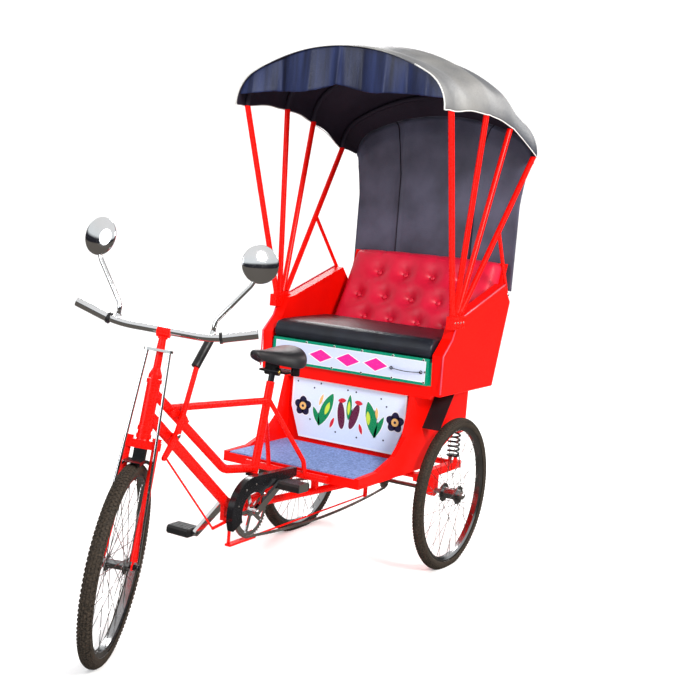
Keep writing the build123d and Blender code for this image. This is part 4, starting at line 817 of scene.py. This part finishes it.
# %% [markdown]
# ## Tyres
#
# A tyre is a thin carcass with a lug pattern: two staggered middle rows, and wide lugs that run over
# the shoulders. A bump texture would leave the tyre's outline smooth, so the lugs are real faces. Each
# point is given by its angle round the wheel, its lean to the side and its height. The joints' own
# places and axes say where each wheel stands.

# %% Tyre tread
TYRE_MID_R, CARCASS_R, LUG_TOP_R, PITCHES, ROUND_STEPS = 0.305, 0.0224, 0.0250, 126, 96
LUG_ROOT, LUG_TAPER, LUG_LONG, LUG_SLANT = 0.0008, 0.84, 0.33, 0.004
WHEELS = {"front_wheel": ("front_tyre", "front_wheel_spin"),
          "rear_wheel_left": ("rear_tyre_left", "rear_left_spin"),
          "rear_wheel_right": ("rear_tyre_right", "rear_right_spin")}
# A lug: its lean to the side and half its width as angles in radians, and its shift in pitches.
LUGS = [(0.20, 0.15, 0.0), (-0.20, 0.15, 0.5), (0.66, 0.24, 0.5), (-0.66, 0.24, 0.0), (1.10, 0.13, 0.0),
        (-1.10, 0.13, 0.5)]
leans = [radians(a) for a in range(-125, 126, 10)]


def tyre_point(angle, lean_a, radius):
    """A point of a tyre that stands at the origin with its axle along Y."""
    reach = TYRE_MID_R + radius * cos(lean_a)
    return Vector((reach * cos(angle), radius * sin(lean_a), reach * sin(angle)))


for body, (node, joint_name) in WHEELS.items():
    bm = bmesh.new()
    rings = [[bm.verts.new(tyre_point(angle, lean_a, CARCASS_R)) for lean_a in leans]
             for angle in angles(ROUND_STEPS)]
    skin(bm, rings + rings[:1])
    carcass_faces = len(bm.faces)
    for i in range(PITCHES):
        for lean_mid, lean_half, shift in LUGS:
            middle = 2 * pi * (i + shift) / PITCHES
            loops = []
            for radius, shrink in ((CARCASS_R - LUG_ROOT, 1.0), (LUG_TOP_R, LUG_TAPER)):
                corners = []
                for sa, sl in ((-1, -1), (1, -1), (1, 1), (-1, 1)):
                    angle = middle + sa * shrink * LUG_LONG * 2 * pi / PITCHES + LUG_SLANT * sl
                    lean_a = lean_mid + sl * shrink * lean_half
                    corners.append(bm.verts.new(tyre_point(angle, lean_a, radius)))
                loops.append(corners)
            skin(bm, loops, closed=True)
            bm.faces.new(loops[1])
    bmesh.ops.recalc_face_normals(bm, faces=bm.faces)
    place_at, axis = joints[joint_name]["pos_m"], Vector(joints[joint_name]["axis"])
    lay = Vector((0, 1, 0)).rotation_difference(axis).to_matrix().to_4x4()
    bmesh.ops.transform(bm, matrix=Matrix.Translation(place_at) @ lay, verts=bm.verts)
    tyre = mesh_object(f"tread_{body}", bm, [tyre_black])
    for face in tyre.data.polygons:
        face.use_smooth = face.index < carcass_faces
    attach(tyre, body)
    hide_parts(node)
print("lugs per tyre", PITCHES * len(LUGS))

# %% [markdown]
# ## The painted strip and panel
#
# The strip board is painted sheet: a green border with a fine white line, and a row of pink diamonds.
# The pattern is worked out from the point's own place, so it needs no picture. A ping-pong of Y repeats
# one diamond along the board.


# %% Strip board
def math_node(tree, operation, a, b=0.0):
    """A math node on two values or sockets; gives back its output."""
    return shader_node(tree, "ShaderNodeMath", {0: a, 1: b}, operation=operation).outputs[0]


def inside(tree, value, limit):
    """1 where value is less than the limit."""
    return math_node(tree, "LESS_THAN", value, limit)


def paint_over(tree, under, mask, colour):
    """Mixes a paint colour over what is under it, by a mask."""
    mix = shader_node(tree, "ShaderNodeMix", {"Factor": mask}, data_type="RGBA")
    if isinstance(under, bpy.types.NodeSocket):
        tree.links.new(under, mix.inputs["A"])
    else:
        mix.inputs["A"].default_value = (*under, 1)
    mix.inputs["B"].default_value = (*colour, 1)
    return mix.outputs["Result"]


LAVENDER, GREEN, PINK, WHITE = (0.56, 0.62, 0.80), (0.0, 0.23, 0.13), (0.90, 0.016, 0.29), (0.85, 0.87, 0.92)
strip_low, strip_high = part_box("strip_board")
strip_paint = surface("strip_paint", LAVENDER, LAVENDER, (0.2, 0.3), shine=0.3)
tree = strip_paint.node_tree
spot = object_xyz(tree)
MID_Z, HALF_Z = (strip_low[2] + strip_high[2]) / 2, (strip_high[2] - strip_low[2]) / 2
FIELD_HALF_Y, ROW_END = 0.376, 0.2
DIAMOND_PITCH, DIAMOND_HALF_Y, DIAMOND_HALF_Z = 0.134, 0.056, 0.027
from_mid_z = math_node(tree, "ABSOLUTE", math_node(tree, "SUBTRACT", spot.outputs["Z"], MID_Z))
from_mid_y = math_node(tree, "ABSOLUTE", spot.outputs["Y"])
edge = math_node(tree, "MINIMUM", math_node(tree, "SUBTRACT", HALF_Z, from_mid_z),
                 math_node(tree, "SUBTRACT", FIELD_HALF_Y, from_mid_y))
shifted_y = math_node(tree, "ADD", spot.outputs["Y"], DIAMOND_PITCH * 4)
near_y = math_node(tree, "PINGPONG", shifted_y, DIAMOND_PITCH / 2)
diamond = math_node(tree, "ADD", math_node(tree, "DIVIDE", near_y, DIAMOND_HALF_Y),
                    math_node(tree, "DIVIDE", from_mid_z, DIAMOND_HALF_Z))
row_end = inside(tree, from_mid_y, ROW_END)
colour = paint_over(tree, LAVENDER, math_node(tree, "MULTIPLY", inside(tree, diamond, 1.12), row_end), WHITE)
colour = paint_over(tree, colour, math_node(tree, "MULTIPLY", inside(tree, diamond, 1.0), row_end), PINK)
colour = paint_over(tree, colour, inside(tree, edge, 0.0135), WHITE)
colour = paint_over(tree, colour, inside(tree, edge, 0.0115), GREEN)
tree.links.new(colour, tree.nodes["Principled BSDF"].inputs["Base Color"])
dress("strip_board", strip_paint)
print("strip board", [round(v, 3) for v in (*strip_low, *strip_high)])

# %% Panel and floor mat
PALE = (0.70, 0.79, 0.95)
panel_paint = surface("panel_paint", PALE, PALE, (0.2, 0.3), shine=0.3)
tree = panel_paint.node_tree
spot = object_xyz(tree)
art_low, art_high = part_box("art_board")
BORDER = 0.008
from_y = math_node(tree, "SUBTRACT", art_high[1], math_node(tree, "ABSOLUTE", spot.outputs["Y"]))
from_z = math_node(tree, "MINIMUM", math_node(tree, "SUBTRACT", art_high[2], spot.outputs["Z"]),
                   math_node(tree, "SUBTRACT", spot.outputs["Z"], art_low[2]))
border = inside(tree, math_node(tree, "MINIMUM", from_y, from_z), BORDER)
colour = paint_over(tree, PALE, border, WHITE)
tree.links.new(colour, tree.nodes["Principled BSDF"].inputs["Base Color"])
dress("art_board", panel_paint)

mat = surface("floor_mat_rubber", (0.07, 0.14, 0.36), (0.28, 0.40, 0.76), (0.45, 0.6), shine=0.2,
              grain=0.6, scale=0.8, mask="Grain")
dress("floor_mat", mat)
print("art board", [round(v, 3) for v in (*art_low, *art_high)])

# %% [markdown]
# ## Folk flowers
#
# The panel's flowers and leaves are thin flat shapes of paint, laid on the board. A leaf is pointed at
# both ends; a petal is round. They are drawn anew as plain shapes after the panel's general look: a
# navy flower at each side, and a spray of leaves and petals between them. A fine white edge is the
# same shape, a little larger and lower. Each layer of paint stands a fraction of a millimetre higher.


# %% Flowers
def paint_shape(bm, y, z, angle, length, width, slot_index, lift, pointed):
    """Adds one flat leaf or disc of paint that starts at y, z and points along the angle."""
    way, across = Vector((0, cos(angle), sin(angle))), Vector((0, -sin(angle), cos(angle)))
    start = Vector((art_face_x + lift, y, z))
    outline = []
    for a in angles(24):
        wide = sin(a) * (abs(sin(a)) ** 0.6 if pointed else 1.0)
        outline.append(bm.verts.new(start + way * length * (0.5 - 0.5 * cos(a)) + across * width / 2 * wide))
    face = bm.faces.new(outline)
    face.material_index = slot_index
    face.normal_update()
    if face.normal.x < 0:
        face.normal_flip()


art_face_x = art_high[0]
PAINTS = (("navy", (0.010, 0.010, 0.05)), ("ochre", (0.86, 0.50, 0.16)), ("green", (0.0, 0.26, 0.09)),
          ("scarlet", (0.70, 0.01, 0.03)), ("maroon", (0.13, 0.012, 0.05)), ("lime", (0.62, 0.78, 0.06)),
          ("white", WHITE))
paints = [surface(f"paint_{name}", colour, colour, (0.25, 0.35)) for name, colour in PAINTS]
NAVY, OCHRE, GREENISH, SCARLET, MAROON, LIME, WHITE_PAINT = range(7)
BOARD_Z = (art_low[2] + art_high[2]) / 2
UNDER, MIDDLE, OVER, TOP = 0.0002, 0.0004, 0.0006, 0.0008
PETAL_LAYERS = ((0.047, 0.042, WHITE_PAINT, UNDER), (0.043, 0.036, NAVY, MIDDLE))
bm = bmesh.new()
for y in (-0.220, 0.233):
    z = BOARD_Z + 0.006
    for k in range(5):
        for length, width, slot_index, lift in PETAL_LAYERS:
            paint_shape(bm, y, z, radians(18 + 72 * k), length, width, slot_index, lift, False)
    for across, lift, slot_index in ((0.034, OVER, OCHRE), (0.012, TOP, NAVY)):
        paint_shape(bm, y - across / 2, z, 0, across, across, slot_index, lift, False)
print("flowers at the sides", len(bm.faces), "shapes")

# %% Leaves, petals and dots
# A shape: its two ends as y and z from the board's middle, and its width, in millimetres; its paint.
SHAPES = [((-136, -68), (-72, 81), 50, GREENISH), ((-131, -64), (-167, 10), 24, GREENISH),
          ((-106, -15), (-87, 41), 20, LIME), ((-138, 20), (-121, 71), 14, OCHRE),
          ((-77, -67), (-60, -21), 15, SCARLET), ((-19, -64), (-33, 53), 36, MAROON),
          ((-45, 55), (-6, 62), 20, SCARLET), ((9, -19), (12, 88), 26, GREENISH),
          ((9, 1), (10, 61), 14, LIME), ((20, -57), (55, 54), 36, MAROON),
          ((36, 62), (74, 58), 20, SCARLET), ((81, -70), (65, -27), 15, SCARLET),
          ((143, -73), (99, 73), 50, GREENISH), ((138, -74), (179, 20), 24, GREENISH),
          ((110, -25), (102, 32), 20, LIME), ((147, 5), (142, 54), 14, OCHRE)]
EDGE_ENDS, EDGE_SIDES, RAISED, DOT = 0.004, 0.005, 0.0003, 0.008
# Lime and scarlet lie on top of other paint, and only their narrow shapes have a white edge.
NARROW_MM = 16
for (ya, za), (yb, zb), width_mm, slot_index in SHAPES:
    y, z, width = ya / 1000, BOARD_Z + za / 1000, width_mm / 1000
    span, angle = hypot(yb - ya, zb - za) / 1000, atan2(zb - za, yb - ya)
    pointed, on_top = slot_index != MAROON, slot_index in (LIME, SCARLET)
    if not on_top or width_mm < NARROW_MM:
        paint_shape(bm, y - EDGE_ENDS * cos(angle), z - EDGE_ENDS * sin(angle), angle, span + 2 * EDGE_ENDS,
                    width + 2 * EDGE_SIDES, WHITE_PAINT, UNDER, pointed)
    paint_shape(bm, y, z, angle, span, width, slot_index, MIDDLE + RAISED * on_top, pointed)
PANEL_DOTS = ((-253, 110), (-168, 92), (-136, 115), (-2, 106), (39, 104), (160, 94), (188, 65),
              (-179, -47), (-48, -81), (57, -87), (185, -77))
for y, z in PANEL_DOTS:
    paint_shape(bm, y / 1000 - DOT / 2, BOARD_Z + z / 1000, 0, DOT, DOT, NAVY, MIDDLE, False)
flowers = mesh_object("panel_flowers", bm, paints)
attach(flowers, "chassis")
print("shapes of paint", len(flowers.data.polygons))

# %% [markdown]
# ## Small metal and trim
#
# Domed heads stand for rivets, bolts and nuts; at their size in the picture a flattened ball is enough.
# Each call names the object, its body, its material, a radius, the way the heads point, and
# where they are, in millimetres from the rear axle.


# %% Bolts and rivets
def place_mm(x, y, z):
    """Turns millimetres from the rear axle's middle on the ground into the model's metres."""
    return Vector((x / 1000 + REAR_AXLE_X, y / 1000, z / 1000))


def heads(name, body, material, radius, way, spots):
    """Makes one object of domed heads that all point the same way."""
    bm = bmesh.new()
    tilt = Vector(way).to_track_quat("Z", "Y").to_matrix().to_4x4()
    for spot in spots:
        bmesh.ops.create_uvsphere(bm, u_segments=12, v_segments=8, radius=radius,
                                  matrix=Matrix.Translation(spot) @ tilt @ Matrix.Diagonal((1, 1, 0.55, 1)))
    made = mesh_object(name, bm, [material])
    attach(made, body)


crank_at = joints["crank_spin"]["pos_m"]
CRANK_X, CRANK_Z, CASE_R = (crank_at[0] - REAR_AXLE_X) * 1000, crank_at[2] * 1000, 100
WHEEL_Z = joints["rear_left_spin"]["pos_m"][2] * 1000
for hand, side_name in ((1, "left"), (-1, "right")):
    heads(f"bracket_rivets_{side_name}", "chassis", dull_steel, 0.005, (0, hand, 0),
          [place_mm(208 + dx, hand * 446, 1086) for dx in (-39, -13, 13, 39)])
    heads(f"brace_pin_{side_name}", "chassis", chrome, 0.008, (0, hand, 0),
          [place_mm(-284, hand * 441, 1190)])
    heads(f"hub_nut_{side_name}", f"rear_wheel_{side_name}", chrome, 0.013, (0, hand, 0),
          [place_mm(0, hand * 441, WHEEL_Z)])
    heads(f"crank_bolt_{side_name}", "crankset", chrome, 0.010, (0, hand, 0),
          [place_mm(CRANK_X, hand * 86, CRANK_Z)])
heads("lever_bolt", "chassis", chrome, 0.009, (0, 1, 0), [place_mm(1464, 47, 719)])
heads("saddle_bolts", "chassis", brass, 0.008, (0, 1, 0),
      [place_mm(867, 31, 880), place_mm(867, -31, 880)])
heads("case_screws", "chassis", dull_steel, 0.004, (0, 1, 0),
      [place_mm(CRANK_X + CASE_R * cos(radians(a)), 66, CRANK_Z + CASE_R * sin(radians(a)))
       for a in (20, 60, 95)])
heads("strip_screws", "chassis", dull_steel, 0.0045, (1, 0, 0),
      [place_mm(313.5, y, 881) for y in (-360, 362)])
print("small metal made")

# %% [markdown]
# ## Mirrors
#
# Each mirror is a bent stalk with a domed head. The heads turn outward, as in the photograph, where the
# construction's face straight ahead, so both are made again here and replace the CAD piece.

# %% Mirrors
# Degrees: how far the steering is turned at rest, and how far each head turns outward from ahead.
REST_TURN, OUTWARD = 27.3, 27
turned = Matrix.Rotation(radians(REST_TURN), 3, STEER_UP)
steer_ahead = turned @ Vector((STEER_UP.z, 0, -STEER_UP.x))
steer_left = turned @ Vector((0, 1, 0))


def steered(forward, left, high):
    """A point of the turned front end, in millimetres ahead, to the left and up its axis."""
    return STEER_AT + (steer_ahead * forward + steer_left * left + STEER_UP * high) / 1000


STALK_R, SOCKET_R = 0.0072, 0.0095
# The head from its rim to the top of its dome: radius and height, in metres.
DOME = ((0.060, -0.006), (0.064, -0.004), (0.064, 0.001), (0.0625, 0.003), (0.056, 0.0062),
        (0.045, 0.0100), (0.032, 0.0132), (0.016, 0.0155), (0.004, 0.0160))
bm = bmesh.new()
for hand in (-1, 1):
    foot, knee = steered(-2, hand * 158, 762), steered(-2, hand * 160, 822)
    neck, top = steered(-4, hand * 256, 962), steered(-6, hand * 268, 1024)
    bends = [foot.lerp(knee, 0.9), knee.lerp(neck, 0.05), knee.lerp(neck, 0.95), neck.lerp(top, 0.1)]
    rod(bm, [foot, *bends, top], STALK_R, 12)
    rod(bm, [foot, foot.lerp(knee, 0.45)], SOCKET_R, 12)
    out = Matrix.Rotation(radians(OUTWARD * hand), 3, STEER_UP) @ steer_ahead
    tilt = out.to_track_quat("Z", "Y").to_matrix().to_4x4()
    seat = Matrix.Translation(steered(-4, hand * 270, 1032)) @ tilt
    rings = [[bm.verts.new(seat @ Vector((radius * cos(a), radius * sin(a), lift))) for a in angles(48)]
             for radius, lift in DOME]
    skin(bm, rings, closed=True)
    bm.faces.new(rings[0][::-1])
    bm.faces.new(rings[-1])
bmesh.ops.recalc_face_normals(bm, faces=bm.faces)
glasses = mesh_object("turned_mirrors", bm, [chrome])
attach(glasses, "steering")
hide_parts("mirrors")
print("mirror faces", len(glasses.data.polygons))

# %% [markdown]
# ## Piping, hooks and dots
#
# Crimson piping follows the upper edge of the tub's sides. Two bent wires hook into the strip board,
# and small black dots with white rings decorate it. Piping and wires are thin and round, so the rod
# function lays both.

# %% Tub piping, hooks and dots
TUB_EDGE = ((313, 800), (314, 954), (242, 1018), (203, 1099), (160, 1108), (-246, 1233))
TUB_EDGE_Y, TUB_PIPING_R, WIRE_R, WIRE_Z, EYE_R = 438.5, 0.0036, 0.0016, 879, 6
crimson_piping = surface("crimson_piping", (0.55, 0.02, 0.05), (0.70, 0.09, 0.13), (0.3, 0.4), shine=0.3)
bm = bmesh.new()
for hand in (-1, 1):
    rod(bm, [place_mm(x, hand * TUB_EDGE_Y, z) for x, z in TUB_EDGE], TUB_PIPING_R)
trim = mesh_object("tub_piping", bm, [crimson_piping])
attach(trim, "chassis")
bm = bmesh.new()
for start, end in ((210, 346), (-352, -262)):
    bow = [(k / 12, sin(pi * k / 12)) for k in range(13)]
    rod(bm, [place_mm(318 + 3 * bend, start + (end - start) * t, WIRE_Z - 5 * bend)
             for t, bend in bow], WIRE_R)
    for y in (start, end):
        rod(bm, [place_mm(317, y + EYE_R * cos(pi * k / 6), WIRE_Z + EYE_R * sin(pi * k / 6))
                 for k in range(13)], WIRE_R)
wires = mesh_object("strip_hooks", bm, [black_gloss])
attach(wires, "chassis")
DOTS = ((-209, 929), (-70, 929), (65, 929), (212, 929), (352, 929), (-74, 838), (69, 838), (214, 838),
        (360, 838), (-352, 838))
heads("strip_dot_rings", "chassis", white_vinyl, 0.0062, (1, 0, 0),
      [place_mm(311.6, y, z) for y, z in DOTS])
heads("strip_dots", "chassis", black_gloss, 0.0044, (1, 0, 0),
      [place_mm(313.4, y, z) for y, z in DOTS])
print("trim made")

# %% Size
low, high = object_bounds()
print("size", [round(v, 3) for v in (*low, *high)])
